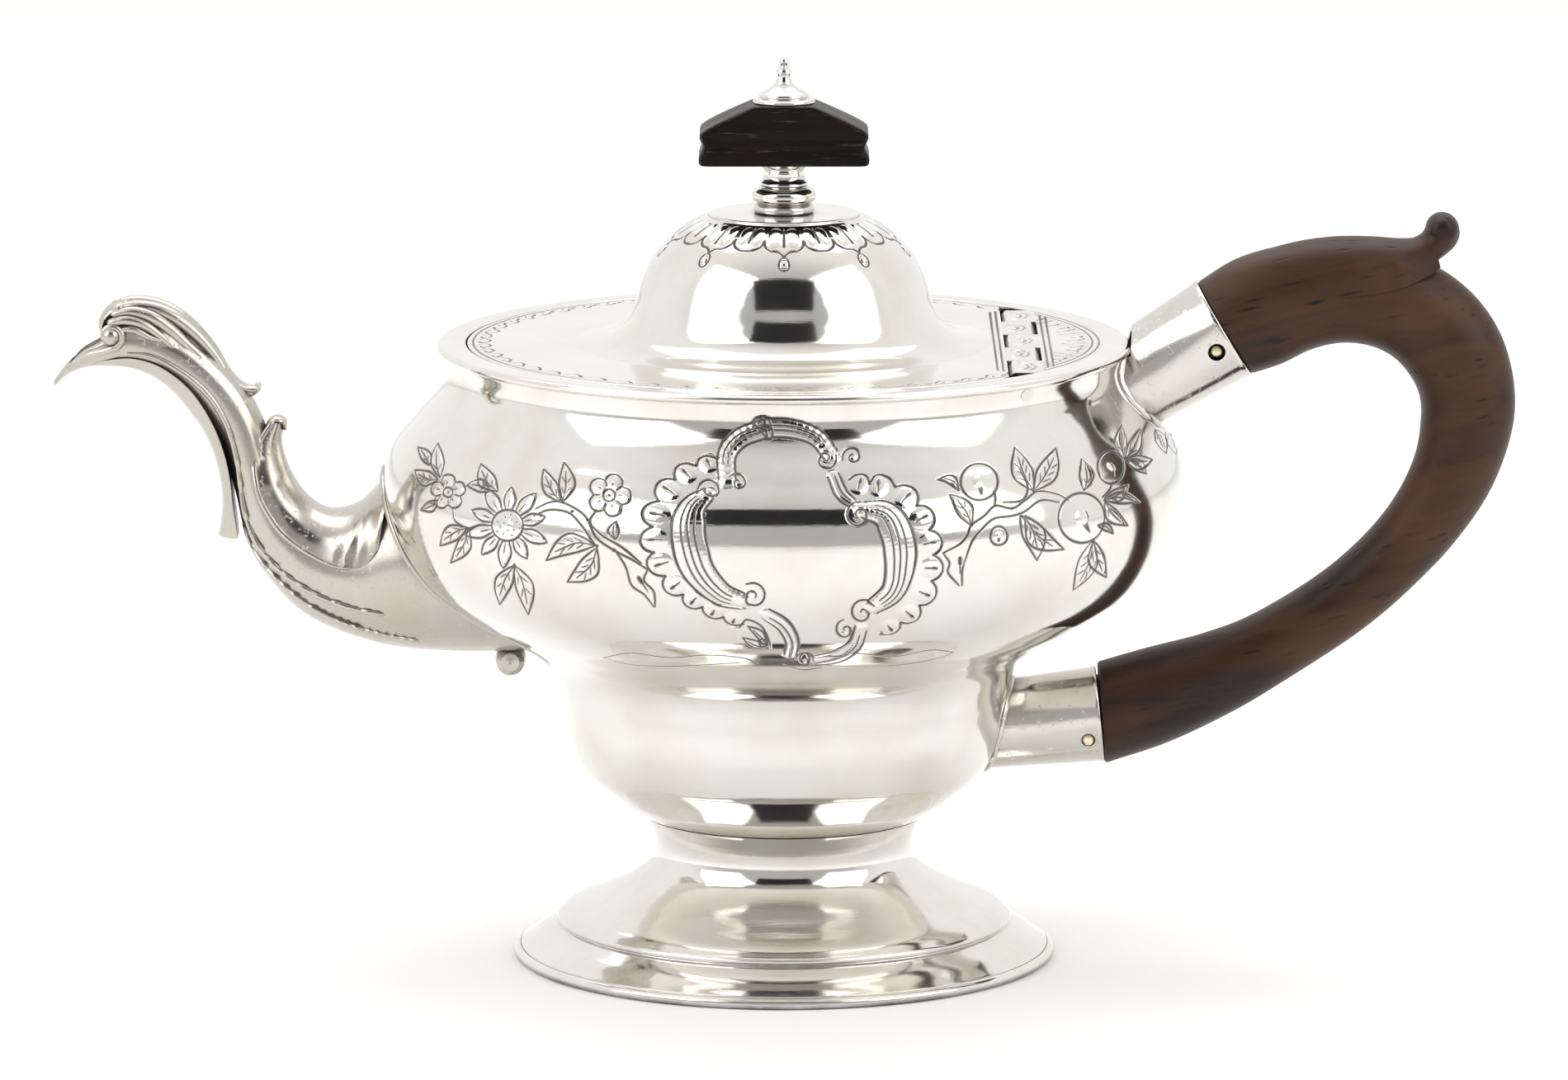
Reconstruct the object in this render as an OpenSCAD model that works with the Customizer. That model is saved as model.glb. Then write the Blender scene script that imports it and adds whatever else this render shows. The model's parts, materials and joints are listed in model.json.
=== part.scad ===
// Footed silver teapot with a bird-headed spout, a flush-hinged domed lid and a wooden loop handle.
// The body axis is Z, the spout points to -X, the handle to +X, and the foot stands on Z = 0.

/* [Body] */
// Thickness of the raised sheet
wall = 1.0; // [0.9:0.1:1.2]
// Height of the joint between bowl and foot
foot_joint_z = 28.6; // [28.4:0.1:28.8]
// Radius of each strainer hole behind the spout
strainer_hole_r = 1.1; // [0.8:0.1:1.3]
// Distance between strainer holes
strainer_pitch = 4.6; // [4:0.1:5]

/* [Lid] */
// Height of the lid's flat top
top_z = 123.5; // [123.3:0.1:123.7]
// Thickness of the lid's flat and of the rim plate
plate = 1.2; // [1:0.1:1.4]
// Radius of the lid's flat
lid_r = 62.7; // [62.4:0.1:62.8]
// Inner radius of the rim plate
rim_inner_r = 63; // [62.9:0.05:63.2]
// Outer radius of the rim plate
rim_outer_r = 68.7; // [68.2:0.1:69]

/* [Hinge] */
// Distance of the hinge axis from the body axis
hinge_x = 47; // [46.8:0.1:47.2]
// Outer radius of the hinge knuckles
knuckle_r = 3.1; // [2.8:0.1:3.1]
// Radius of the hinge pin
hinge_pin_r = 0.9; // [0.8:0.05:1]
// Half the length of the row of knuckles
hinge_half = 41; // [36:1:41]
// Number of knuckles in the row
knuckles = 5; // [5:2:7]

/* [Handle] */
// Radius of the upper socket at its mouth
upper_socket_r = 10.8; // [10.6:0.1:11.2]
// Radius of the lower socket at its mouth
lower_socket_r = 9.5; // [9.3:0.1:10]
// Radius of the two cross pins
socket_pin_r = 1.3; // [1.1:0.1:1.4]

/* [Knob] */
// Width of the wooden button along X
button_w = 33.6; // [31:0.2:34]
// Depth of the wooden button along Y
button_d = 15.6; // [14:0.2:17]
// Radius of the threaded stem
stem_r = 1.4; // [1.2:0.1:1.5]

/* [Hidden] */
$fn = 96;
silver = [0.80, 0.79, 0.76];
gilt = [0.78, 0.70, 0.52];
dark_wood = [0.20, 0.12, 0.08];
black_wood = [0.10, 0.08, 0.07];
steel = [0.55, 0.55, 0.56];
far = 400;
fit = 0.05;

// Turned outlines, as [radius, height].
bowl_knots = [
    [28.8, 28.9], [34.8, 33.0], [40.6, 38.4], [43.4, 45.0], [44.8, 53.0], [47.2, 60.0], [54.0, 65.2],
    [63.0, 70.2], [71.6, 76.4], [77.2, 84.6], [79.6, 94.0], [78.2, 101.8], [73.4, 108.0],
    [68.4, 113.8], [66.5, 118.0], [67.4, 122.3]
];
foot_knots = [
    [28.3, 28.6], [26.6, 25.6], [25.9, 22.0], [27.2, 18.6], [31.2, 15.3], [37.0, 12.3], [42.6, 9.9],
    [45.0, 8.2]
];
foot_skirt_knots = [[45.4, 6.6], [48.6, 4.9], [51.0, 3.3], [52.6, 2.3]];
dome_knots = [
    [15.1, 148.7], [18.0, 147.3], [21.6, 144.9], [24.6, 142.0], [26.8, 138.6], [28.4, 134.6],
    [29.6, 130.6], [31.4, 127.0], [35.2, 124.6], [41.0, 123.5]
];

// Spout stations: upper edge [x, z], lower edge [x, z] and half width.
spout_stations = [
    [[-72.0, 97.0], [-46.0, 61.4], 18.0],
    [[-80.5, 94.0], [-64.0, 61.2], 16.4],
    [[-85.6, 90.0], [-79.5, 62.6], 13.4],
    [[-91.0, 90.6], [-94.0, 68.0], 10.8],
    [[-95.4, 94.8], [-102.8, 76.2], 9.0],
    [[-98.6, 99.4], [-107.4, 84.6], 7.8],
    [[-101.0, 104.2], [-110.4, 92.6], 6.8],
    [[-103.2, 109.4], [-112.6, 101.0], 6.0],
    [[-106.4, 115.2], [-116.6, 108.8], 5.8],
    [[-111.2, 121.0], [-121.6, 114.4], 5.8],
    [[-117.6, 126.4], [-126.6, 117.6], 5.8],
    [[-125.2, 129.8], [-130.8, 118.8], 5.6],
    [[-131.0, 129.2], [-135.0, 118.6], 5.0],
    [[-134.2, 127.0], [-139.6, 117.4], 4.4],
    [[-135.4, 125.8], [-144.9, 114.6], 3.6]
];
spout_wall = 1.3;
lip_bulge = 1.8;

// Handle stations: outer edge [x, z], inner edge [x, z] and half width.
handle_stations = [
    [[81.8, 135.1], [92.6, 117.1], 10.3],
    [[89.4, 139.8], [98.4, 119.0], 10.3],
    [[98.6, 142.7], [104.4, 121.9], 10.0],
    [[108.6, 143.8], [110.4, 123.2], 9.6],
    [[119.6, 143.0], [116.2, 122.5], 9.3],
    [[129.6, 138.8], [120.8, 120.1], 9.1],
    [[137.8, 131.2], [124.1, 116.3], 8.9],
    [[143.2, 121.4], [125.9, 112.4], 8.7],
    [[144.9, 109.0], [126.2, 107.6], 8.5],
    [[141.2, 95.8], [125.1, 100.5], 8.2],
    [[134.6, 84.9], [121.5, 92.5], 7.8],
    [[125.8, 75.0], [115.4, 84.5], 7.6],
    [[114.8, 65.3], [106.4, 76.5], 7.6],
    [[99.8, 55.2], [93.6, 68.5], 7.8],
    [[89.1, 48.7], [83.6, 64.5], 8.4],
    [[76.4, 42.6], [72.0, 61.4], 9.6],
    [[64.0, 38.4], [62.4, 58.6], 10.1]
];

// Socket mouths: centre [x, z] and the tilt of the axis above the horizontal.
upper_mouth = [87.2, 126.1];
upper_tilt = 31;
lower_mouth = [63.0, 48.3];
lower_tilt = 6;
socket_wall = 0.9;
tenon_gap = 0.25;
upper_pin_at = [85.2, 122.8];
lower_pin_at = [60.4, 44.6];

hinge_z = top_z - knuckle_r - 0.1;
leaf_gap = 3.5;
leaf_end_gap = 2.0;
knuckle_flat = 2.2;
lid_corner_r = lid_r - 0.6;
body_top_z = top_z - plate;
ledge_z = body_top_z - 0.1;
knuckle_len = 2 * hinge_half / knuckles;
plug_r = 1.2;

// Heights up the knob, from the dome's flat top.
dome_top_z = 149.2;
spool_z = 154.6;
button_z = 159.2;
cap_z = 171.0;

// A smooth curve through knots, n steps to a span.
function spline_point(a, b, c, d, t) =
    0.5 * (2 * b + (c - a) * t + (2 * a - 5 * b + 4 * c - d) * t * t + (3 * b - 3 * c + d - a) * t * t * t);
function smooth(p, n) = [
    for (i = [0:len(p) - 2]) for (k = [0:n - 1])
        spline_point(p[max(i - 1, 0)], p[i], p[i + 1], p[min(i + 2, len(p) - 1)], k / n),
    p[len(p) - 1]
];
function reverse(p) = [for (i = [len(p) - 1:-1:0]) p[i]];
function left_of(p, i) =
    let (t = p[min(i + 1, len(p) - 1)] - p[max(i - 1, 0)])
    [-t[1], t[0]] / norm(t);
function beside(p, d) = [for (i = [0:len(p) - 1]) p[i] + d * left_of(p, i)];

bowl_curve = smooth(bowl_knots, 4);
bowl_inside = [for (p = beside(bowl_curve, wall)) [p[0], min(max(p[1], foot_joint_z + wall), body_top_z)]];
function bowl_r(z) = lookup(z, [for (p = bowl_curve) [p[1], p[0]]]);

// A closed tube through stations: each ring is an ellipse from upper to lower edge.
function ring(s, sides, bulge) = [
    for (k = [0:sides - 1])
        let (
            a = 360 * k / sides,
            mid = (s[0] + s[1]) / 2,
            half = (s[0] - s[1]) / 2,
            out = [-half[1], half[0]] / norm(half),
            c = mid + cos(a) * half + bulge * pow(sin(a), 2) * out
        )
        [c[0], s[2] * sin(a), c[1]]
];
function inset(s, d) =
    let (half = (s[0] - s[1]) / 2, u = half / norm(half))
    [s[0] - d * u, s[1] + d * u, s[2] - d];
function sections(stations, n) =
    let (
        upper = smooth([for (s = stations) s[0]], n),
        lower = smooth([for (s = stations) s[1]], n),
        width = smooth([for (s = stations) [s[2], 0]], n)
    )
    [for (i = [0:len(upper) - 1]) [upper[i], lower[i], width[i][0]]];

module skin(rings) {
    m = len(rings[0]);
    last = len(rings) - 1;
    polyhedron(
        points = [for (r = rings) for (p = r) p],
        faces = [
            [for (k = [0:m - 1]) k],
            [for (k = [m - 1:-1:0]) last * m + k],
            for (i = [0:last - 1]) for (k = [0:m - 1]) [
                i * m + k, (i + 1) * m + k, (i + 1) * m + (k + 1) % m, i * m + (k + 1) % m
            ]
        ]
    );
}

module turned(outline) {
    rotate_extrude() polygon(outline);
}

// The bowl as a filled solid, for trimming what is soldered to it.
module bowl_envelope(grow = 0.02) {
    grown = beside(bowl_curve, -grow);
    turned(concat([[0, foot_joint_z]], grown, [[0, grown[len(grown) - 1][1]]]));
}

module along_y(x, z, r, from, to) {
    translate([x, from, z]) rotate([-90, 0, 0]) cylinder(r = r, h = to - from);
}

module body() color(silver) difference() {
    turned(concat(
        [[0, foot_joint_z], [28.2, foot_joint_z]], bowl_curve, reverse(bowl_inside), [[0, foot_joint_z + wall]]
    ));
    for (row = [-2:2]) for (column = [0:4 - abs(row)])
        translate([-90, (column - (4 - abs(row)) / 2) * strainer_pitch, 81 + row * strainer_pitch * 0.866])
            rotate([0, 90, 0]) cylinder(r = strainer_hole_r, h = 30, $fn = 24);
    for (side = [-1, 1])
        along_y(hinge_x, hinge_z, plug_r + fit, side > 0 ? 44 : -50, side > 0 ? 50 : -44);
}

module foot() color(silver) {
    top = smooth(foot_knots, 4);
    skirt = smooth(foot_skirt_knots, 4);
    outside = concat(top, [[45.3, 7.6], [45.0, 7.0]], skirt, [[52.6, 0.5]]);
    inside = concat(
        beside(top, -wall), [[43.9, 7.0], [44.2, 5.8]], beside(skirt, -wall), [[51.3, 1.2], [51.3, 0.5]]
    );
    turned(concat(outside, reverse([for (p = inside) [p[0], min(p[1], foot_joint_z)]])));
}

module foot_band() color(silver) {
    turned([
        [51.3, 0], [53.3, 0], [53.8, 0.3], [54.0, 0.9], [53.9, 1.5], [53.4, 2.0], [52.65, 2.2],
        [52.65, 0.45], [51.3, 0.45]
    ]);
}

module rim_plate() color(silver) union() {
    turned([
        [rim_inner_r, body_top_z], [rim_inner_r, top_z], [rim_outer_r - 0.8, top_z],
        [rim_outer_r - 0.2, top_z - 0.3], [rim_outer_r, top_z - 0.8], [rim_outer_r - 0.2, top_z - 1.4],
        [rim_outer_r - 0.7, top_z - 1.7], [67.5, top_z - 1.7], [67.5, body_top_z]
    ]);
    // Fixed leaf: the D-shaped plate behind the hinge, with a slot for the knuckles.
    difference() {
        translate([0, 0, body_top_z]) cylinder(r = rim_inner_r + 0.5, h = plate);
        translate([-far, -far / 2, -1]) cube([far + hinge_x - leaf_end_gap, far, far]);
        translate([hinge_x - leaf_gap - 1, -hinge_half - 0.2, -1])
            cube([2 * leaf_gap + 1, 2 * hinge_half + 0.4, far]);
    }
}

module lid_seat_ring() color(silver) difference() {
    turned([
        [60.9, 117.6], [60.9, ledge_z], [65.25, ledge_z], [65.25, ledge_z - 1], [61.7, ledge_z - 1], [61.7, 117.6]
    ]);
    translate([hinge_x - leaf_gap - 0.2, -far / 2, 0]) cube([far, far, far]);
}

// A horn of hulled balls: each entry is [x, z, radius, half width].
module horn(balls) {
    for (i = [0:len(balls) - 2]) hull() for (b = [balls[i], balls[i + 1]])
        translate([b[0], 0, b[1]]) scale([b[2], b[3], b[2]]) sphere(r = 1, $fn = 18);
}

module spout() color(silver) {
    outside = sections(spout_stations, 3);
    inside = [for (s = outside) inset(s, spout_wall)];
    last = len(outside) - 1;
    difference() {
        union() {
            skin([for (i = [0:last]) ring(outside[i], 28, i == last ? lip_bulge : 0)]);
            // Crest plume along the top of the head.
            horn([
                [-131.6, 129.4, 2.4, 4.2], [-128.4, 130.2, 2.4, 4.6], [-124.0, 130.0, 2.5, 4.6],
                [-119.6, 127.8, 2.4, 4.4], [-115.4, 124.2, 2.2, 4.0], [-111.6, 119.6, 1.9, 3.4],
                [-108.4, 116.0, 1.6, 2.8], [-105.4, 113.8, 1.2, 2.2]
            ]);
            // Sheath leaf down the breast.
            horn([
                [-119.4, 113.8, 1.4, 3.4], [-113.4, 105.8, 1.5, 3.8], [-110.4, 95.8, 1.5, 4.0], [-110.7, 86.2, 1.5, 3.6]
            ]);
            // Calyx leaf up the back of the neck.
            horn([[-92.6, 91.0, 1.6, 5.0], [-97.2, 97.0, 1.6, 4.6], [-99.8, 102.6, 1.4, 3.8], [-100.0, 106.6, 1.1, 2.6]]);
            // Scroll on each side of the beak's root.
            for (side = [-1, 1]) translate([-133.2, side * 4.6, 125.4]) sphere(r = 2.3, $fn = 20);
        }
        skin([
            ring([inside[0][0] + [12, 0], inside[0][1] + [12, 0], inside[0][2]], 28, 0),
            for (i = [0:last]) ring(inside[i], 28, i == last ? lip_bulge : 0),
            ring([inside[last][0] + [-6, 6.5], inside[last][1] + [-6, 6.5], inside[last][2]], 28, lip_bulge)
        ]);
        rotate_extrude($fn = 192)
            polygon(concat([[0, foot_joint_z]], beside(bowl_curve, -0.06), [[0, body_top_z]]));
    }
}

// Raised band that follows the spout's outline on the bowl.
collar_mid_z = 78.4;
collar_half_z = 19.0;
collar_half_y = 19.4;
function on_bowl(a, k, lift) =
    let (
        y = (collar_half_y + k) * cos(a),
        z = collar_mid_z + (collar_half_z + k) * sin(a),
        slope = (bowl_r(z + 0.5) - bowl_r(z - 0.5)),
        r = bowl_r(z) + lift * sqrt(1 + slope * slope)
    )
    [-sqrt(r * r - y * y), y, z];
module spout_collar() color(silver) {
    steps = 64;
    width = 2.2;
    section = [[-0.5, 0.14], [-0.5, 0.5], [-0.25, 0.8], [0, 0.55], [0.25, 0.8], [0.5, 0.5], [0.5, 0.14]];
    m = len(section);
    polyhedron(
        points = [for (i = [0:steps - 1]) for (s = section) on_bowl(360 * i / steps, s[0] * width, s[1])],
        faces = [
            for (i = [0:steps - 1]) for (k = [0:m - 1])
                let (j = (i + 1) % steps, l = (k + 1) % m)
                [i * m + k, i * m + l, j * m + l, j * m + k]
        ]
    );
}

// Little scroll that closes the spout's underside against the bowl.
module spout_drop() color(silver) difference() {
    translate([-54.4, 0, 59.4]) rotate([90, 0, 0])
        rotate_extrude() polygon([[0, -4.4], [1.8, -4.2], [2.8, -3.2], [3.1, 0], [2.8, 3.2], [1.8, 4.2], [0, 4.4]]);
    bowl_envelope();
    skin([for (s = sections([for (i = [0:2]) spout_stations[i]], 3)) ring([s[0] + [0, 0.1], s[1] - [0, 0.1], s[2] + 0.1], 28, 0)]);
}

module tilted(mouth, tilt) {
    translate([mouth[0], 0, mouth[1]]) rotate([0, 90 - tilt, 0]) children();
}

// A tapered socket for a handle tenon, mitred onto the bowl.
module socket(mouth, tilt, r_mouth, r_root, depth, pin_at, hole_r) {
    difference() {
        tilted(mouth, tilt) translate([0, 0, -depth]) cylinder(r1 = r_root, r2 = r_mouth, h = depth);
        tilted(mouth, tilt) translate([0, 0, -depth - 1])
            cylinder(r1 = r_root - socket_wall, r2 = r_mouth - socket_wall, h = depth + 2);
        bowl_envelope();
        translate([0, 0, top_z - 2]) cylinder(r = rim_outer_r + fit, h = 20);
        along_y(pin_at[0], pin_at[1], hole_r, -20, 20);
    }
}

module upper_socket() color(silver)
    socket(upper_mouth, upper_tilt, upper_socket_r, upper_socket_r - 1.6, 28, upper_pin_at, socket_pin_r + 0.4);

module lower_socket() color(silver)
    socket(lower_mouth, lower_tilt, lower_socket_r, lower_socket_r - 1.0, 26, lower_pin_at, socket_pin_r + 0.1);

module handle() color(dark_wood) difference() {
    union() {
        skin(reverse([for (s = sections(handle_stations, 3)) ring(s, 28, 0)]));
        // Thumb rest: a leaf along the top that curls into a scroll.
        horn([
            [104.0, 136.6, 6.6, 7.6], [113.0, 138.4, 6.0, 6.8], [121.0, 139.6, 4.6, 5.6], [127.2, 140.4, 2.9, 4.4],
            [130.8, 141.9, 2.2, 3.8], [131.9, 144.2, 2.2, 3.8], [130.3, 145.3, 3.9, 4.6]
        ]);
        tilted(upper_mouth, upper_tilt) translate([0, 0, -15])
            cylinder(r = upper_socket_r - socket_wall - tenon_gap - 0.9, h = 18, $fn = 64);
        tilted(lower_mouth, lower_tilt) translate([0, 0, -13])
            cylinder(r = lower_socket_r - socket_wall - tenon_gap - 0.5, h = 16, $fn = 64);
    }
    along_y(upper_pin_at[0], upper_pin_at[1], socket_pin_r + fit, -20, 20);
    along_y(lower_pin_at[0], lower_pin_at[1], socket_pin_r + fit, -20, 20);
}

module upper_socket_pin() color(gilt) along_y(upper_pin_at[0], upper_pin_at[1], socket_pin_r, -9.2, 9.2);

module lower_socket_pin() color(gilt) along_y(lower_pin_at[0], lower_pin_at[1], socket_pin_r, -8.4, 8.4);

// Every second knuckle, starting at the first or the second; side +1 joins the fixed leaf, -1 the lid.
module knuckle_row(first, side) {
    for (i = [first:2:knuckles - 1]) translate([hinge_x, -hinge_half + i * knuckle_len, hinge_z]) difference() {
        union() {
            translate([0, 0.1, 0]) rotate([-90, 0, 0]) cylinder(r = knuckle_r, h = knuckle_len - 0.2);
            translate([side > 0 ? -knuckle_flat : -leaf_gap, 0.1, knuckle_r - 1.1])
                cube([leaf_gap + knuckle_flat, knuckle_len - 0.2, 1.1]);
        }
        translate([0, -1, 0]) rotate([-90, 0, 0]) cylinder(r = hinge_pin_r + fit, h = knuckle_len + 2);
    }
}

// The end knuckles are trimmed to the round edge of the rim plate.
module body_hinge_knuckles() color(silver) intersection() {
    knuckle_row(0, 1);
    cylinder(r = rim_inner_r, h = far);
}

module lid_hinge_knuckles() color(silver) knuckle_row(1, -1);

module hinge_pin() color(gilt) along_y(hinge_x, hinge_z, hinge_pin_r, -44.8, 44.8);

module hinge_pin_plugs() color(silver) for (side = [-1, 1])
    along_y(hinge_x, hinge_z, plug_r, side > 0 ? 44.9 : -47.2, side > 0 ? 47.2 : -44.9);

module lid() color(silver) {
    dome = smooth(dome_knots, 4);
    under = [for (p = beside(dome, -plate)) [p[0], max(p[1], body_top_z)]];
    difference() {
        turned(concat(
            [[stem_r + 0.2, dome_top_z], [14.6, dome_top_z], [14.9, 149.0]], dome, [[lid_r, top_z], [lid_r, body_top_z]],
            reverse(under), [[14.0, dome_top_z - plate], [stem_r + 0.2, dome_top_z - plate]]
        ));
        translate([hinge_x - leaf_gap, -far / 2, 0]) cube([far, far, far]);
        // Ends of the chord, eased so that the lid's corners clear the rim as it opens.
        difference() {
            translate([hinge_x - leaf_gap - 5, -far / 2, 0]) cube([far, far, far]);
            cylinder(r = lid_corner_r, h = far);
        }
    }
}

module lid_bezel() color(silver) difference() {
    turned([[59.4, 117.8], [59.4, body_top_z], [60.4, body_top_z], [60.4, 117.8]]);
    translate([hinge_x - 6, -far / 2, 0]) cube([far, far, far]);
}

module knob_collar() color(silver) turned([
    [stem_r + 0.2, dome_top_z], [5.6, dome_top_z], [5.9, 149.9], [5.8, 150.7], [5.3, 151.1], [5.9, 151.4], [6.4, 152.2],
    [6.4, 153.0], [6.0, 153.8], [5.2, 154.4], [4.6, spool_z], [stem_r + 0.2, spool_z]
]);

module knob_spool() color(silver) turned([
    [stem_r + 0.2, spool_z], [4.5, spool_z], [4.9, 155.0], [4.8, 155.4], [4.3, 155.8], [4.1, 156.8], [4.3, 157.8],
    [4.8, 158.6], [5.1, button_z - 0.2], [5.0, button_z], [stem_r + 0.2, button_z]
]);

module knob_button() color(black_wood) {
    w = button_w / 2;
    difference() {
        rotate([90, 0, 0]) linear_extrude(button_d, center = true) polygon([
            [-w + 0.6, button_z], [w - 0.6, button_z], [w, 160.4], [w - 0.1, 161.4], [w - 0.7, 162.9], [w - 0.5, 164.0],
            [w - 0.3, 165.2], [w - 1.2, 166.6], [6.4, cap_z], [-6.4, cap_z], [-w + 1.2, 166.6], [-w + 0.3, 165.2],
            [-w + 0.5, 164.0], [-w + 0.7, 162.9], [-w + 0.1, 161.4], [-w, 160.4]
        ]);
        translate([0, 0, button_z - 1]) cylinder(r = stem_r + 0.2, h = 20);
    }
}

module finial() color(silver) difference() {
    turned([
        [0, cap_z], [6.0, cap_z], [6.1, 171.4], [5.8, 171.9], [5.0, 172.1], [4.9, 172.6], [4.4, 173.2], [3.0, 173.9],
        [1.9, 174.9], [1.3, 176.0], [1.1, 176.5], [1.5, 177.0], [1.4, 177.5], [0.9, 178.0], [0.8, 178.3], [1.05, 178.8],
        [1.0, 179.4], [0.7, 179.8], [0, 180]
    ]);
    translate([0, 0, cap_z - 1]) cylinder(r = stem_r - 0.3, h = 3);
}

module knob_stem() color(steel) {
    translate([0, 0, 144.6]) cylinder(r = stem_r, h = cap_z - 144.6);
    translate([0, 0, cap_z - 1]) cylinder(r = stem_r - 0.3, h = 3);
}

module knob_washer() color(steel) difference() {
    translate([0, 0, 147.2]) cylinder(r = 4.2, h = dome_top_z - plate - 147.2);
    translate([0, 0, 146]) cylinder(r = stem_r + fit, h = 4);
}

module knob_nut() color(steel) difference() {
    translate([0, 0, 145.2]) cylinder(r = 3.2, h = 2, $fn = 6);
    translate([0, 0, 144]) cylinder(r = stem_r + fit, h = 5);
}

body();
foot();
foot_band();
rim_plate();
lid_seat_ring();
spout();
spout_collar();
spout_drop();
upper_socket();
lower_socket();
handle();
upper_socket_pin();
lower_socket_pin();
body_hinge_knuckles();
hinge_pin();
hinge_pin_plugs();
lid();
lid_bezel();
lid_hinge_knuckles();
knob_collar();
knob_spool();
knob_button();
finial();
knob_stem();
knob_washer();
knob_nut();
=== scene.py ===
import json
import math

import bmesh
import bpy
import numpy as np
from mathutils import Matrix, Vector


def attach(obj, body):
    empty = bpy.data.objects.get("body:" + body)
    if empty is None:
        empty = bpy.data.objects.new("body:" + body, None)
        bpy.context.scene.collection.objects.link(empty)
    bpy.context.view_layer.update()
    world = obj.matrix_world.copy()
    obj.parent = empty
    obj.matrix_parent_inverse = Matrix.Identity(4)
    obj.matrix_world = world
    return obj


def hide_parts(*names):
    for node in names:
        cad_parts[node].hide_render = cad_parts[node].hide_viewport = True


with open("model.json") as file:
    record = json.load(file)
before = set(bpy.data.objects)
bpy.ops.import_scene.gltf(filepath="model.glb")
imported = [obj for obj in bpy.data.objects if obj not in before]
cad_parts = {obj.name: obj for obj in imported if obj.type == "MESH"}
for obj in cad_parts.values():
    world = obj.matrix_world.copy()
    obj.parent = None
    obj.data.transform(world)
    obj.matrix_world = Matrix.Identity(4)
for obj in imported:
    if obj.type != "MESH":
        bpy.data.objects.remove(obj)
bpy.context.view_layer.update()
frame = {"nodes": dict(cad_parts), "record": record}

MM = 0.001
POT, LID = "pot", "lid"

# ---------------------------------------------------------------- camera
TARGET = Vector((0.0, 0.0, 0.0834))
CAMERA_DISTANCE = 1.90
CAMERA_ELEVATION = math.radians(10.2)
FRAME_WIDTH_AT_TARGET = 0.3115


def make_camera():
    data = bpy.data.cameras.new("camera")
    camera = bpy.data.objects.new("camera", data)
    bpy.context.scene.collection.objects.link(camera)
    toward = Vector((0.0, -math.cos(CAMERA_ELEVATION), math.sin(CAMERA_ELEVATION)))
    camera.location = TARGET + toward * CAMERA_DISTANCE
    camera.rotation_euler = (-toward).to_track_quat("-Z", "Y").to_euler()
    data.lens = data.sensor_width * CAMERA_DISTANCE / FRAME_WIDTH_AT_TARGET
    data.clip_end = 50
    bpy.context.scene.camera = camera


# ---------------------------------------------------------------- curves and outlines, in millimetres
def spline(knots, per=8):
    """A Catmull-Rom curve through the knots, with per points to each stretch."""
    k = np.asarray(knots, float)
    k = np.vstack([2 * k[0] - k[1], k, 2 * k[-1] - k[-2]])
    t = np.linspace(0, 1, per, endpoint=False)[:, None]
    out = []
    for a, b, c, d in zip(k[:-3], k[1:-2], k[2:-1], k[3:]):
        bend, twist = 2 * a - 5 * b + 4 * c - d, 3 * b - 3 * c + d - a
        out.append(0.5 * (2 * b + (c - a) * t + bend * t**2 + twist * t**3))
    return np.vstack(out + [k[-2]])


def lengths(p):
    """The distance along the path at each of its points."""
    return np.concatenate([[0], np.cumsum(np.linalg.norm(np.diff(p, axis=0), axis=1))])


def resample(p, step=None, count=None):
    """The path with points at even distances."""
    s = lengths(p)
    n = count or max(2, int(math.ceil(s[-1] / step)) + 1)
    at = np.linspace(0, s[-1], n)
    return np.column_stack([np.interp(at, s, p[:, i]) for i in range(p.shape[1])])


def match(knots, count):
    return resample(spline(knots, 10), count=count)


def tangents(p):
    t = np.gradient(p, axis=0)
    return t / np.linalg.norm(t, axis=1)[:, None]


def to_left(p):
    """Unit vectors that point to the left of a flat path."""
    t = tangents(p)
    return np.column_stack([-t[:, 1], t[:, 0]])


def offset(p, d):
    """The outline moved d to its left."""
    return p + d * to_left(p)


def turn_angles(count):
    return np.linspace(0, 2 * math.pi, count, endpoint=False)


def circle_at(at, radius, y=0.0, sides=32):
    """A ring round (x, z), in the plane at y."""
    a = turn_angles(sides)
    return np.column_stack([at[0] + radius * np.cos(a), np.full(sides, y), at[1] + radius * np.sin(a)])


def in_middle(path):
    """A path of (x, z) laid in the pot's middle plane."""
    return np.column_stack([path[:, 0], 0 * path[:, 0], path[:, 1]])


def points(path):
    return [tuple(q) for q in path]


# ---------------------------------------------------------------- meshes
def add_object(name, mesh, material, body, replaced):
    """Puts a finished mesh in the scene, riding on its body in place of the CAD node."""
    obj = bpy.data.objects.new(name, mesh)
    bpy.context.scene.collection.objects.link(obj)
    mesh.materials.append(material)
    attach(obj, body)
    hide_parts(*replaced)
    return obj


def mesh_from(name, verts_mm, faces, sharp_deg):
    mesh = bpy.data.meshes.new(name)
    mesh.from_pydata((np.asarray(verts_mm) * MM).tolist(), [], faces)
    mesh.validate()
    mesh.shade_smooth()
    mesh.set_sharp_from_angle(angle=math.radians(sharp_deg))
    return mesh


def edit(mesh, change):
    """Runs a change on the mesh through bmesh."""
    bm = bmesh.new()
    bm.from_mesh(mesh)
    change(bm)
    bm.to_mesh(mesh)
    bm.free()


def face_outward(bm):
    bmesh.ops.recalc_face_normals(bm, faces=bm.faces[:])
    if bm.calc_volume(signed=True) < 0:
        bmesh.ops.reverse_faces(bm, faces=bm.faces[:])


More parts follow.
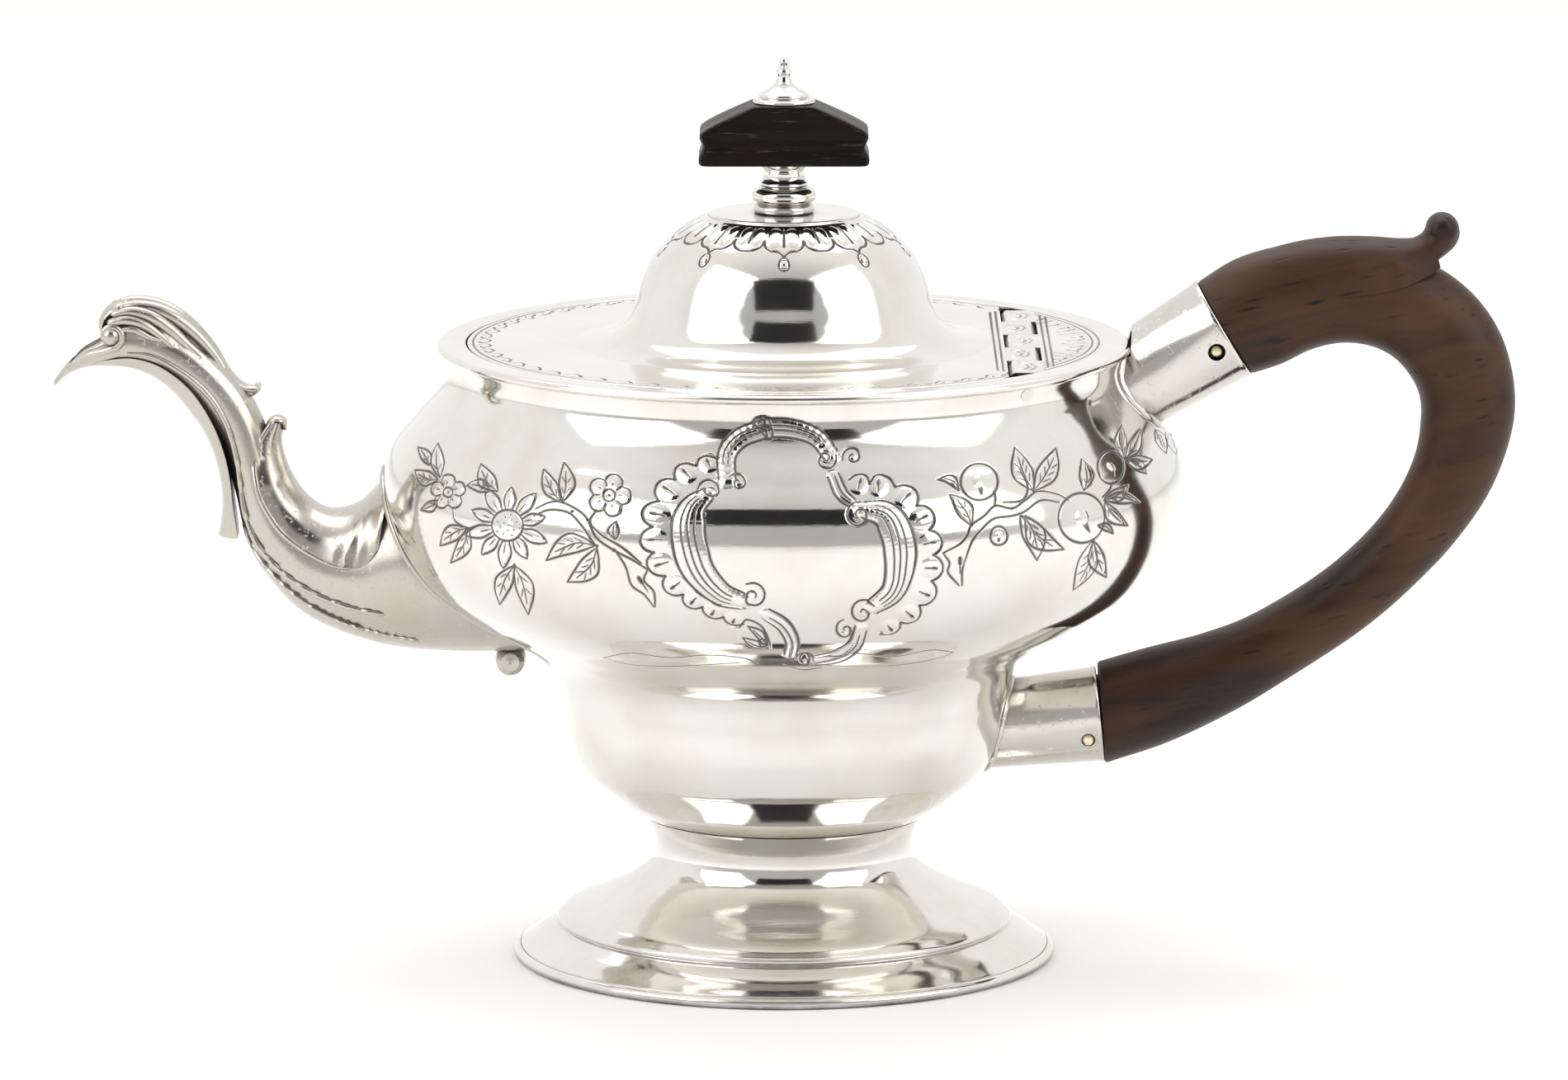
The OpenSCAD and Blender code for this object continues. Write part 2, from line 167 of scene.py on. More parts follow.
def turned(outline, segments=192):
    """A closed outline of (radius, height), turned about Z. Points on the axis become one vertex."""
    verts, rows = [], []
    angles = turn_angles(segments)
    for r, z in outline:
        if r < 1e-6:
            rows.append([len(verts)] * segments)
            verts.append((0, 0, z))
        else:
            rows.append(list(range(len(verts), len(verts) + segments)))
            verts.extend(zip(r * np.cos(angles), r * np.sin(angles), [z] * segments))
    faces = []
    closed = outline[0][0] > 1e-6 or outline[-1][0] > 1e-6
    pairs = list(zip(rows, rows[1:])) + ([(rows[-1], rows[0])] if closed else [])
    for low, high in pairs:
        for i in range(segments):
            j = (i + 1) % segments
            ring = [low[i], low[j], high[j], high[i]]
            face = [v for n, v in enumerate(ring) if v not in ring[:n]]
            if len(face) > 2:
                faces.append(face)
    return np.array(verts), faces


def rounded(outline, radius, steps=3, straight=0.9):
    """The closed outline with its corners rounded, so that edges catch the light.

    Corners that turn little, with a cosine over straight, stay as they are."""
    p = [np.array(q, float) for q in outline]
    out = []
    for i, b in enumerate(p):
        before, after = p[i - 1] - b, p[(i + 1) % len(p)] - b
        size_before, size_after = np.linalg.norm(before), np.linalg.norm(after)
        if b[0] < 1e-6 or min(size_before, size_after) < 1e-6:
            out.append(b)
            continue
        u, v = before / size_before, after / size_after
        if np.dot(-u, v) > straight:
            out.append(b)
            continue
        d = min(radius, 0.4 * size_before, 0.4 * size_after)
        for t in np.linspace(0, 1, steps + 1):
            out.append((1 - t) ** 2 * (b + d * u) + 2 * t * (1 - t) * b + t**2 * (b + d * v))
    return out


# ---------------------------------------------------------------- materials
class Shader:
    """A node tree, with one short call for each kind of node that the materials share."""

    def __init__(self, owner, main="Principled BSDF"):
        owner.use_nodes = True
        self.owner, self.tree = owner, owner.node_tree
        self.main = self.tree.nodes[main]

    def put(self, socket, value):
        """Links a socket to another node's output, or sets its constant."""
        if isinstance(value, bpy.types.NodeSocket):
            self.tree.links.new(value, socket)
        elif socket.type == "RGBA":
            socket.default_value = (*value, 1)
        else:
            socket.default_value = value

    def set(self, **values):
        for name, value in values.items():
            self.put(self.main.inputs[name.replace("_", " ")], value)

    def add(self, kind, output, settings=None, **values):
        node = self.tree.nodes.new("ShaderNode" + kind)
        for name, value in (settings or {}).items():
            setattr(node, name, value)
        for name, value in values.items():
            self.put(node.inputs[name.replace("_", " ")], value)
        return node.outputs[output]

    def noise(self, vector, scale, detail, roughness=0.5, distortion=0.0):
        return self.add("TexNoise", "Fac", Vector=vector, Scale=scale, Detail=detail, Roughness=roughness,
                        Distortion=distortion)

    def remap(self, value, low, high, to_low=0.0, to_high=1.0, kind="LINEAR"):
        return self.add("MapRange", "Result", {"interpolation_type": kind}, Value=value, From_Min=low,
                        From_Max=high, To_Min=to_low, To_Max=to_high)

    def math(self, operation, *values):
        node = self.tree.nodes.new("ShaderNodeMath")
        node.operation = operation
        for socket, value in zip(node.inputs, values):
            self.put(socket, value)
        return node.outputs[0]

    def mix(self, a, b, factor):
        return self.add("Mix", "Result", {"data_type": "RGBA"}, A=a, B=b, Factor=factor)

    def mapped(self, vector, scale=(1.0, 1.0, 1.0), rotation=(0.0, 0.0, 0.0)):
        return self.add("Mapping", "Vector", Vector=vector, Scale=scale, Rotation=rotation)

    def bump(self, height, strength, distance, below=None, invert=False):
        under = {"Normal": below} if below else {}
        return self.add("Bump", "Normal", {"invert": invert}, Height=height, Strength=strength,
                        Distance=distance, **under)


# RECESS_REACH is how far the ambient occlusion looks when it paints shade into recesses.
LINE_TARNISH, RECESS_REACH = 0.9, 0.004
WARM_FILM = (0.93, 0.905, 0.855)


def silver(name, tone, tarnish_and_shade_tone, rough, pits=0.0):
    """Worn polished silver: fine rubbing marks, uneven polish, tarnished chased lines, and recesses that are
    both tarnished and darkened with painted shade from ambient occlusion.
    """
    s = Shader(bpy.data.materials.new(name))
    place = s.add("TexCoord", "Object")
    cloud = s.noise(place, 55.0, 5.0, 0.62)
    lines = s.add("Attribute", "Fac", {"attribute_name": "grime"})
    # Painted shade: ambient occlusion darkens and roughens the colour wherever the surface is hidden, in
    # recesses and between parts; it stands in for shade as well as for the tarnished hollows.
    recess = s.add("AmbientOcclusion", "AO", {"samples": 6}, Distance=RECESS_REACH)
    tarnish_and_painted_shade = s.math("MULTIPLY", s.remap(recess, 0.78, 0.30, 0.0, 0.75),
                     s.remap(cloud, 0.35, 0.65, 0.45, 1.0))
    tarnish_and_shade_mask = s.math("MAXIMUM", tarnish_and_painted_shade, s.math("MULTIPLY", lines, LINE_TARNISH))
    film = [c * k for c, k in zip(tone, WARM_FILM)]
    base = s.mix(tone, film, s.remap(cloud, 0.42, 0.72))
    shine = s.remap(cloud, 0.35, 0.7, rough * 0.8, rough * 1.5)
    rub = s.noise(s.mapped(place, (1.0, 1.0, 14.0)), 260.0, 3.0)
    normal = s.bump(s.noise(place, 38.0, 1.0), 0.10, 0.0006, s.bump(rub, 0.05, 0.00012))
    if pits:
        speck = s.noise(place, 900.0, 4.0, 0.7)
        normal = s.bump(s.remap(speck, 0.30, 0.40), pits, 0.0002, normal)
    s.set(Metallic=1.0, Base_Color=s.mix(base, tarnish_and_shade_tone, tarnish_and_shade_mask), Normal=normal,
          Roughness=s.math("MULTIPLY_ADD", tarnish_and_shade_mask, 0.32, shine))
    return s.owner


STREAK_TONE = (0.13, 0.12, 0.12)


def wood(name, dark, light, pore, grain_turn, rough, gloss, streak=0.0):
    """Close-grained wood: drawn-out figure, and short dark pores that run along the grain."""
    s = Shader(bpy.data.materials.new(name))
    place = s.add("TexCoord", "Object")
    grain = s.mapped(place, rotation=(0.0, grain_turn, 0.0))
    drawn_out = s.mapped(grain, (0.10, 1.0, 1.0))
    figure = s.noise(drawn_out, 150.0, 6.0, 0.6, 0.6)
    broad = s.math("MULTIPLY", s.noise(place, 28.0, 2.0), 0.55)
    tone = s.remap(s.math("MULTIPLY_ADD", figure, 0.55, broad), 0.42, 0.70)
    pores = s.add("TexVoronoi", "Distance", Vector=s.mapped(grain, (0.16, 1.0, 1.0)), Scale=620.0)
    some = s.remap(s.noise(drawn_out, 240.0, 2.0), 0.45, 0.62)
    pitted = s.math("MULTIPLY", s.remap(pores, 0.30, 0.12), some)
    colour = s.mix(s.mix(dark, light, tone), pore, pitted)
    if streak:
        pale = s.noise(s.mapped(grain, (0.07, 1.0, 1.0)), 900.0, 4.0, 0.7)
        colour = s.mix(colour, STREAK_TONE, s.remap(pale, 0.60, 0.74, 0.0, streak))
    normal = s.bump(pitted, 0.6, 0.00015, s.bump(figure, 0.35, 0.00012), invert=True)
    s.set(Base_Color=colour, Specular_IOR_Level=gloss, Normal=normal,
          Roughness=s.remap(figure, 0.3, 0.7, rough * 0.85, rough * 1.3))
    return s.owner


# These dark tones colour the tarnished chased lines and also the painted shade in recesses.
TARNISH_AND_SHADE_TONE = (0.035, 0.027, 0.020)
polished = silver("silver_polished", (0.78, 0.765, 0.73), TARNISH_AND_SHADE_TONE, 0.085)
cast = silver("silver_cast", (0.53, 0.50, 0.455), (0.050, 0.037, 0.027), 0.22, pits=0.3)
hinge_silver = silver("hinge_silver", (0.72, 0.70, 0.66), TARNISH_AND_SHADE_TONE, 0.14)
socket_silver = silver("socket_silver", (0.66, 0.64, 0.60), (0.05, 0.036, 0.024), 0.16, pits=0.2)
gilt = silver("pin_gilt", (0.86, 0.76, 0.56), (0.10, 0.07, 0.04), 0.22)
steel = silver("steel", (0.56, 0.56, 0.57), (0.10, 0.09, 0.08), 0.32)
handle_wood = wood("handle_wood", (0.012, 0.0048, 0.0022), (0.070, 0.027, 0.0095), (0.003, 0.0015, 0.001),
                   math.radians(12), 0.42, 0.28)
knob_wood = wood("knob_wood", (0.0035, 0.0025, 0.0025), (0.011, 0.007, 0.006), (0.0015, 0.001, 0.001),
                 0.0, 0.36, 0.12, streak=0.6)
SLOT_MATERIALS = {
    "silver_polished": polished, "silver_cast": cast, "pin_gilt": gilt,
    "handle_wood": handle_wood, "knob_wood": knob_wood, "steel": steel,
}


def dress_cad_nodes():
    """CAD nodes that stay in view get the finished materials."""
    for part in frame["record"]["subparts"]:
        obj = frame["nodes"][part["node"]]
        for holder in obj.material_slots:
            holder.material = SLOT_MATERIALS[part["material_slot"]]


# ---------------------------------------------------------------- studio
ROOM_FRONT, ROOM_BACK = 0.55, 1.05
SIDE_POWER, TOP_POWER = 9, 8
FLOOR_SIZE, FLOOR_BELOW = 9, 0.00002


def make_plane(name, width, height, location, facing, colour, seen=True):
    """A matt sheet of paper or cloth that faces the given way."""
    mesh = bpy.data.meshes.new(name)
    x, y = width / 2, height / 2
    mesh.from_pydata([(-x, -y, 0), (x, -y, 0), (x, y, 0), (-x, y, 0)], [], [(0, 1, 2, 3)])
    obj = bpy.data.objects.new(name, mesh)
    bpy.context.scene.collection.objects.link(obj)
    obj.location = location
    obj.rotation_euler = Vector(facing).to_track_quat("Z", "Y").to_euler()
    matt = Shader(bpy.data.materials.new(name))
    matt.set(Base_Color=colour, Roughness=0.9)
    mesh.materials.append(matt.owner)
    obj.visible_camera = seen


def direction(azimuth, elevation):
    """From the pot outward; azimuth 0 is towards the camera, positive towards the handle."""
    a, e = math.radians(azimuth), math.radians(elevation)
    return Vector((math.sin(a) * math.cos(e), -math.cos(a) * math.cos(e), math.sin(e)))


def softbox(name, azimuth, elevation, distance, width, height, power):
    data = bpy.data.lights.new(name, "AREA")
    data.shape, data.size, data.size_y, data.energy = "RECTANGLE", width, height, power
    obj = bpy.data.objects.new(name, data)
    bpy.context.scene.collection.objects.link(obj)
    out = direction(azimuth, elevation)
    obj.location = TARGET + out * distance
    obj.rotation_euler = out.to_track_quat("Z", "Y").to_euler()


def make_studio():
    """White paper all round, a darker room on the camera's side, and soft light from both sides and above."""
    scene = bpy.context.scene
    scene.view_settings.view_transform = "Standard"
    scene.world = bpy.data.worlds.new("studio")
    room = Shader(scene.world, "Background")
    depth = room.add("SeparateXYZ", "Y", Vector=room.add("TexCoord", "Generated"))
    room.set(Color=(1.0, 0.995, 0.985), Strength=room.remap(depth, -0.75, 0.15, ROOM_FRONT, ROOM_BACK,
                                                            "SMOOTHSTEP"))
    make_plane("floor", FLOOR_SIZE, FLOOR_SIZE, (0, 0, -FLOOR_BELOW), (0, 0, 1), (0.92, 0.918, 0.91))
    out = direction(0, 40)
    make_plane("camera_side_card", 0.98, 0.62, TARGET + out * 1.25, -out, (0.004, 0.004, 0.006), seen=False)
    softbox("left_softbox", -58, 32, 1.5, 1.1, 1.3, SIDE_POWER)
    softbox("right_softbox", 58, 32, 1.5, 1.1, 1.3, SIDE_POWER)
    softbox("top_softbox", 180, 62, 1.6, 1.6, 1.0, TOP_POWER)


# ---------------------------------------------------------------- chased relief on turned sheet
class TurnedSheet:
    """A turned sheet whose surface is cut into cells that get finer where chased lines run.

    The profile is a closed or open outline of (radius, height) split into coarse rows; each coarse row and
    column holds COARSE fine steps. Heights are added along the sheet's normal at the fine steps.
    """
    COARSE = 8
    CHUNK = 40
    FAR = 9.0

    def __init__(self, spans, columns):
        """spans: (outline, coarse rows, is it the show face) in order; columns: coarse columns round."""
        fine, show = [], []
        for outline, rows, face in spans:
            p = resample(np.asarray(outline, float), count=rows * self.COARSE + 1)
            fine.append(p if not fine else p[1:])
            show += [face] * (rows * self.COARSE)
        self.p = np.vstack(fine)
        self.rows, self.cols = len(self.p) - 1, columns * self.COARSE
        self.show = np.array(show)
        t = np.gradient(self.p, axis=0)
        t /= np.linalg.norm(t, axis=1)[:, None] + 1e-12
        self.normal = np.column_stack([t[:, 1], -t[:, 0]])
        self.s = lengths(self.p)
        self.near = np.full((self.rows + 1, self.cols), self.FAR)
        self.groove = np.zeros((self.rows + 1, self.cols))
        self.swell = np.zeros((self.rows + 1, self.cols))
        self.turn = 2 * math.pi / self.cols

    def _patches(self, theta, s, width, reach):
        """Windows of fine points round each short run of samples, with their distances over the width."""
        radius = np.interp(s, self.s, self.p[:, 0])
        for i in range(0, len(theta), self.CHUNK):
            part = slice(max(i - 1, 0), i + self.CHUNK)
            t, ss, w, r = theta[part], s[part], width[part], radius[part]
            r0, r1 = np.searchsorted(self.s, (ss.min() - reach, ss.max() + reach))
            rows = np.arange(max(r0 - 1, 0), min(r1 + 1, self.rows) + 1)
            span = reach / r.min()
            cols = np.arange(int((t.min() - span) / self.turn) - 1, int((t.max() + span) / self.turn) + 2)
            dx = (cols[:, None] * self.turn - t) * r
            ds = self.s[rows][:, None] - ss
            yield rows, cols, np.sqrt(dx[None, :, :] ** 2 + ds[:, None, :] ** 2) / w, part

    def _both_sides(self, rows, cols, mirrored):
        """The window, and its mirror image on the sheet's far side."""
        yield np.ix_(rows, cols % self.cols)
        if mirrored:
            yield np.ix_(rows, (-cols) % self.cols)

    def cut(self, theta, s, depth=0.16, width=0.30, mirrored=False):
        """A chased line through the samples."""
        w = np.broadcast_to(np.asarray(width, float), theta.shape)
        for rows, cols, d, _ in self._patches(theta, s, w, max(0.75, 1.3 * float(w.max()))):
            near = d.min(axis=2)
            groove = depth * np.clip(1 - near**2, 0, 1) ** 1.5
            for at in self._both_sides(rows, cols, mirrored):
                self.near[at] = np.minimum(self.near[at], near)
                self.groove[at] = np.maximum(self.groove[at], groove)

    def raise_along(self, theta, s, rise, width, mirrored=False):
        """A rounded swelling along the samples; width and rise may vary."""
        w = np.broadcast_to(np.asarray(width, float), theta.shape)
        h = np.broadcast_to(np.asarray(rise, float), theta.shape)
        for rows, cols, d, part in self._patches(theta, s, w, float(w.max())):
            swell = (h[part] * np.clip(1 - d**2, 0, 1) ** 0.8).max(axis=2)
            for at in self._both_sides(rows, cols, mirrored):
                self.swell[at] = np.maximum(self.swell[at], swell)

    def build(self):
        """Vertices, faces, normals and grime, with cells split where a line or a swelling is near."""
        rows, cols = self.rows, self.cols
        height = self.swell - self.groove

        def blocks(mask, k=2):
            return mask.reshape(mask.shape[0] // k, k, mask.shape[1] // k, k).any(axis=(1, 3))

        def spread(mask):
            out = mask | np.roll(mask, 1, 1) | np.roll(mask, -1, 1)
            grown = out.copy()
            grown[1:] |= out[:-1]
            grown[:-1] |= out[1:]
            return grown

        line = self.near[:-1] < 1.25
        split2 = spread(blocks(line))
        swollen = np.abs(height) > 0.01
        split4 = spread(blocks(split2) | blocks(swollen[:-1], 4))
        split8 = spread(blocks(split4))
        leaf = {8: ~split8, 4: np.repeat(np.repeat(split8, 2, 0), 2, 1) & ~split4}
        leaf[2] = np.repeat(np.repeat(split4, 2, 0), 2, 1) & ~split2
        leaf[1] = np.repeat(np.repeat(split2, 2, 0), 2, 1)
        used = np.zeros((rows + 1, cols), bool)
        cells = []
        for size in (8, 4, 2, 1):
            r, c = np.nonzero(leaf[size])
            r, c = r * size, c * size
            cells.append((size, r, c))
            for dr in (0, size):
                for dc in (0, size):
                    used[r + dr, (c + dc) % cols] = True
        index = np.cumsum(used.ravel()).reshape(used.shape) - 1
        row, col = np.nonzero(used)
        theta = col * self.turn
        slope_s = np.gradient(height, axis=0) / np.gradient(self.s)[:, None]
        across = np.roll(height, -1, 1) - np.roll(height, 1, 1)
        slope_t = across / (2 * self.turn * np.maximum(self.p[:, :1], 0.5))
        hr, nr = height[row, col], self.normal[row]
        radial, up = self.p[row, 0] + nr[:, 0] * hr, self.p[row, 1] + nr[:, 1] * hr
        verts = np.column_stack([radial * np.cos(theta), radial * np.sin(theta), up])
        ss, st = slope_s[row, col], slope_t[row, col]
        n_r = nr[:, 0] + ss * nr[:, 1]
        n_z = nr[:, 1] - ss * nr[:, 0]
        n_x = n_r * np.cos(theta) + st * np.sin(theta)
        n_y = n_r * np.sin(theta) - st * np.cos(theta)
        normals = np.column_stack([n_x, n_y, n_z])
        normals /= np.linalg.norm(normals, axis=1)[:, None]
        faces = []
        for size, r, c in cells:
            ring = []
            for dr, dc in ((0, 0), (0, size), (size, size), (size, 0)):
                ring.append(index[r + dr, (c + dc) % cols])
            quads = np.stack(ring, axis=1)
            if size == 1:
                faces += quads.tolist()
                continue
            extra = np.zeros(len(r), bool)
            for k in range(1, size):
                extra |= used[r, (c + k) % cols] | used[r + size, (c + k) % cols]
                extra |= used[r + k, c] | used[r + k, (c + size) % cols]
            faces += quads[~extra].tolist()
            for i in np.nonzero(extra)[0]:
                a, b = int(r[i]), int(c[i])
                path = [(a, b + k) for k in range(size)]
                path += [(a + k, b + size) for k in range(size)]
                path += [(a + size, b + size - k) for k in range(size)]
                path += [(a + size - k, b) for k in range(size)]
                faces.append([int(index[u, v % cols]) for u, v in path if used[u, v % cols]])
        grime = np.exp(-(self.near[row, col] * 0.95) ** 4)
        return verts, faces, normals, grime


# ---------------------------------------------------------------- chasing on the bowl
class Chaser:
    """Draws on an upright board through the pot's axis, seen from the camera, and wraps it onto the bowl.

    Board coordinates are millimetres: right of the axis, and above the camera's target. Every stroke is
    repeated on the far side of the bowl.
    """

    def __init__(self, sheet, radius_of_z):
        self.sheet, self.radius_of_z = sheet, radius_of_z
        top = int(np.nonzero(sheet.show)[0].max()) + 1
        self.z, self.s = sheet.p[:top, 1], sheet.s[:top]
        e = CAMERA_ELEVATION
        self.eye = np.array([0, -math.cos(e), math.sin(e)]) * CAMERA_DISTANCE / MM + np.array(TARGET) / MM
        self.up = np.array([0, math.sin(e), math.cos(e)])

    def wrap(self, board):
        """Angle and place along the sheet where the eye's rays through the board meet it, and which do."""
        board = np.asarray(board, float)
        q = np.array(TARGET) / MM + board[:, :1] * np.array([1.0, 0, 0]) + board[:, 1:2] * self.up
        ray = q - self.eye
        y = np.linspace(-84, -2, 330)
        lam = (y[None, :] - self.eye[1]) / ray[:, 1:2]
        x = self.eye[0] + lam * ray[:, :1]
        z = self.eye[2] + lam * ray[:, 2:3]
        gap = np.hypot(x, y[None, :]) - self.radius_of_z(z)
        hit = np.argmax(gap < 0, axis=1)
        ok = (gap.min(axis=1) < 0) & (hit > 0)
        i = np.arange(len(board))
        a, b = gap[i, hit - 1], gap[i, hit]
        f = np.where(ok, a / (a - b + 1e-9), 0)[:, None]
        px = x[i, hit - 1] + f[:, 0] * (x[i, hit] - x[i, hit - 1])
        py = y[hit - 1] + f[:, 0] * (y[hit] - y[hit - 1])
        pz = z[i, hit - 1] + f[:, 0] * (z[i, hit] - z[i, hit - 1])
        return np.arctan2(py, px)[ok], np.interp(pz, self.z, self.s)[ok], ok

    def line(self, knots, width=0.27, depth=0.17, curved=True, taper=0.35):
        p = spline(knots, 10) if curved and len(knots) > 2 else np.asarray(knots, float)
        p = resample(p, step=0.13)
        w = np.full(len(p), width)
        if taper:
            u = np.linspace(0, 1, len(p))
            w = width * (1 - taper * (2 * np.abs(u - 0.5)) ** 3)
        theta, s, ok = self.wrap(p)
        if len(theta):
            self.sheet.cut(theta, s, depth, w[ok], mirrored=True)

    def dot(self, at, r=0.42, depth=0.26):
        self.line([at, (at[0] + 0.05, at[1])], r, depth, False, 0)

    def drop(self, a, b, width=0.34):
        """A teardrop cut, wide at a and running out at b."""
        a, b = np.array(a, float), np.array(b, float)
        self.line([a, a + 0.35 * (b - a)], width, 0.24, False, 0.2)
        self.line([a, b], 0.2, 0.14, False, 0.5)

    def swell(self, knots, rise, width, curved=True):
        p = spline(knots, 8) if curved and len(knots) > 2 else np.asarray(knots, float)
        p = resample(p, step=0.4)
        theta, s, ok = self.wrap(p)
        if len(theta):
            u = np.linspace(0, 1, len(p))[ok]
            fade = np.sqrt(np.clip(1 - (2 * np.abs(u - 0.5)) ** 4, 0.15, 1))
            self.sheet.raise_along(theta, s, rise * fade, width * fade, mirrored=True)

    def circle(self, at, r, width=0.26, start=0.0, end=360.0, squash=1.0, depth=0.17):
        a = np.radians(np.linspace(start, end, max(8, int(abs(end - start) / 20))))
        knots = np.column_stack([at[0] + r * np.cos(a), at[1] + r * squash * np.sin(a)])
        self.line(knots, width, depth, True, 0)

    def spiral(self, at, r, start, turns, width=0.26):
        """A volute that winds inward from angle start; turns is signed, positive anticlockwise."""
        u = np.linspace(0, 1, 16)
        a = math.radians(start) + 2 * math.pi * turns * u
        rr = r * (1 - 0.85 * u)
        self.line(np.column_stack([at[0] + rr * np.cos(a), at[1] + rr * np.sin(a)]), width, 0.18, True, 0.3)
        self.swell([(at[0], at[1]), (at[0] + 0.05, at[1])], 0.45, r * 1.05)

    def leaf(self, base, tip, width, bend=0.0, veins=3, rib=0.78):
        """A pointed leaf with a bent midrib and a given number of veins on each side."""
        base, tip = np.array(base, float), np.array(tip, float)
        d = tip - base
        size = np.linalg.norm(d)
        across = np.array([-d[1], d[0]]) / size

        def at(u, k):
            return base + d * u + across * (bend * size * math.sin(math.pi * u) + k * width / 2)

        for k in (-1, 1):
            self.line([at(0, 0), at(0.16, 0.52 * k), at(0.42, k), at(0.70, 0.74 * k), at(1, 0)])
        self.line([at(0.02, 0), at(0.35, 0.05), at(rib, 0)], 0.2, 0.12)
        for i in range(veins):
            u = 0.22 + 0.5 * i / max(veins, 1)
            for k in (-1, 1):
                self.line([at(u, 0.12 * k), at(u + 0.16, 0.58 * k)], 0.17, 0.09, False, 0.6)
        self.swell([at(0.12, 0), at(0.45, 0), at(0.85, 0)], 0.22, width * 0.5)

    def blossom(self, at, r, petals=5, core=0.28, turn=90.0):
        """A small open flower with round petals, a ringed core and stamens."""
        for i in range(petals):
            a0 = math.radians(turn + 360 / petals * (i - 0.5))
            am, a1 = a0 + math.pi / petals, a0 + 2 * math.pi / petals

            def ray(a, k):
                return (at[0] + r * k * math.cos(a), at[1] + r * k * math.sin(a))

            shoulders = ray(a0 + 0.25 * (a1 - a0), 0.97), ray(a0 + 0.75 * (a1 - a0), 0.97)
            self.line([ray(a0, 0.74), shoulders[0], ray(am, 1.03), shoulders[1], ray(a1, 0.74)])
            self.line([ray(a0, 0.42), ray(a0, 0.74)], 0.22, 0.14, False)
            self.line([ray(am, 0.45), ray(am, 0.62)], 0.18, 0.10, False, 0.5)
            self.swell([ray(am, 0.5), ray(am, 0.8)], 0.24, r * 0.42, False)
        self.circle(at, r * core, 0.24)
        self.dot(at, 0.3)

    def sunflower(self, at, core, reach, petals=10):
        """A big flower: pointed petals with midribs round a domed, dotted core."""
        for i in range(petals):
            a = 2 * math.pi * (i + 0.35) / petals
            half = 0.86 * math.pi / petals
            far_out = reach * (1.0 if i % 2 else 0.90)

            def ray(angle, k):
                return (at[0] + k * math.cos(angle), at[1] + k * math.sin(angle))

            mid = core + 0.45 * (far_out - core)
            for edge in (-half, half):
                self.line([ray(a + edge * 0.75, core * 1.06), ray(a + edge * 0.86, mid),
                           ray(a + edge * 0.36, far_out * 0.88), ray(a, far_out)])
            self.line([ray(a, core * 1.15), ray(a, mid)], 0.18, 0.11, False, 0.5)
            self.dot(ray(a + half * 0.2, far_out * 0.9), 0.26, 0.18)
            self.swell([ray(a, core * 1.2), ray(a, far_out * 0.85)], 0.22, half * mid * 0.9, False)
        self.circle(at, core, 0.26)
        self.swell([at, (at[0] + 0.05, at[1])], 0.55, core * 1.15)
        for i in range(14):
            a, k = i * 2.4, core * math.sqrt((i + 0.5) / 14) * 0.8
            self.dot((at[0] + k * math.cos(a), at[1] + k * math.sin(a)), 0.18, 0.10)

    def fruit(self, at, r, squash, crease):
        """A round fruit with three short creases at angle crease."""
        self.circle(at, r, 0.28, squash=squash)
        self.swell([at, (at[0] + 0.05, at[1])], 0.75, r * 1.05)
        c = math.radians(crease)
        end = (at[0] - r * 0.72 * math.cos(c), at[1] - r * 0.72 * math.sin(c))
        for k in (-0.35, 0.0, 0.3):
            start = (at[0] - r * 0.3 * math.cos(c + k), at[1] - r * 0.3 * math.sin(c + k))
            self.line([end, start], 0.2, 0.13, False, 0.5)

    def band(self, knots, half, rise=0.7, flutes=2):
        """A raised scroll band between two cut edges, with flutes along it; half is its half width."""
        mid = resample(spline(knots, 10), count=26)
        w = np.interp(np.linspace(0, 1, 26), np.linspace(0, 1, len(half)), half)[:, None]
        across = to_left(mid)
        self.line(mid + across * w, 0.32, 0.2)
        self.line(mid - across * w, 0.32, 0.2)
        for i in range(flutes):
            k = (i + 1) / (flutes + 1) * 2 - 1
            self.line((mid - across * w * k * 0.8)[2:-2], 0.22, 0.14)
        theta, s, ok = self.wrap(mid)
        self.sheet.raise_along(theta, s, rise, w[ok][:, 0] + 0.25, mirrored=True)

    def fringe(self, knots, lobes, reach):
        """Shell lobes outward (left) of a line, with a punched dot at each cusp and a drop down each lobe."""
        foot = resample(spline(knots, 10), count=lobes * 6 + 1)
        u = np.linspace(0, 1, len(foot))
        out = to_left(foot) * np.interp(u, np.linspace(0, 1, len(reach)), reach)[:, None]
        for i in range(lobes):
            a, b = i * 6, i * 6 + 6
            arc = []
            for k in range(a, b + 1):
                bulge = 0.62 + 0.38 * math.sin(math.pi * (k - a) / 6) ** 0.7
                arc.append(foot[k] + out[k] * bulge)
            self.line(arc, 0.27, 0.19, True, 0)
            self.dot(arc[-1], 0.36, 0.26)
            m = (a + b) // 2
            self.drop(foot[m] + out[m] * 0.72, foot[m] + out[m] * 0.22)
            wide = 0.42 * np.linalg.norm(foot[b] - foot[a]) + 0.2
            self.swell([foot[m] + out[m] * 0.3, foot[m] + out[m] * 0.75], 0.32, wide, False)


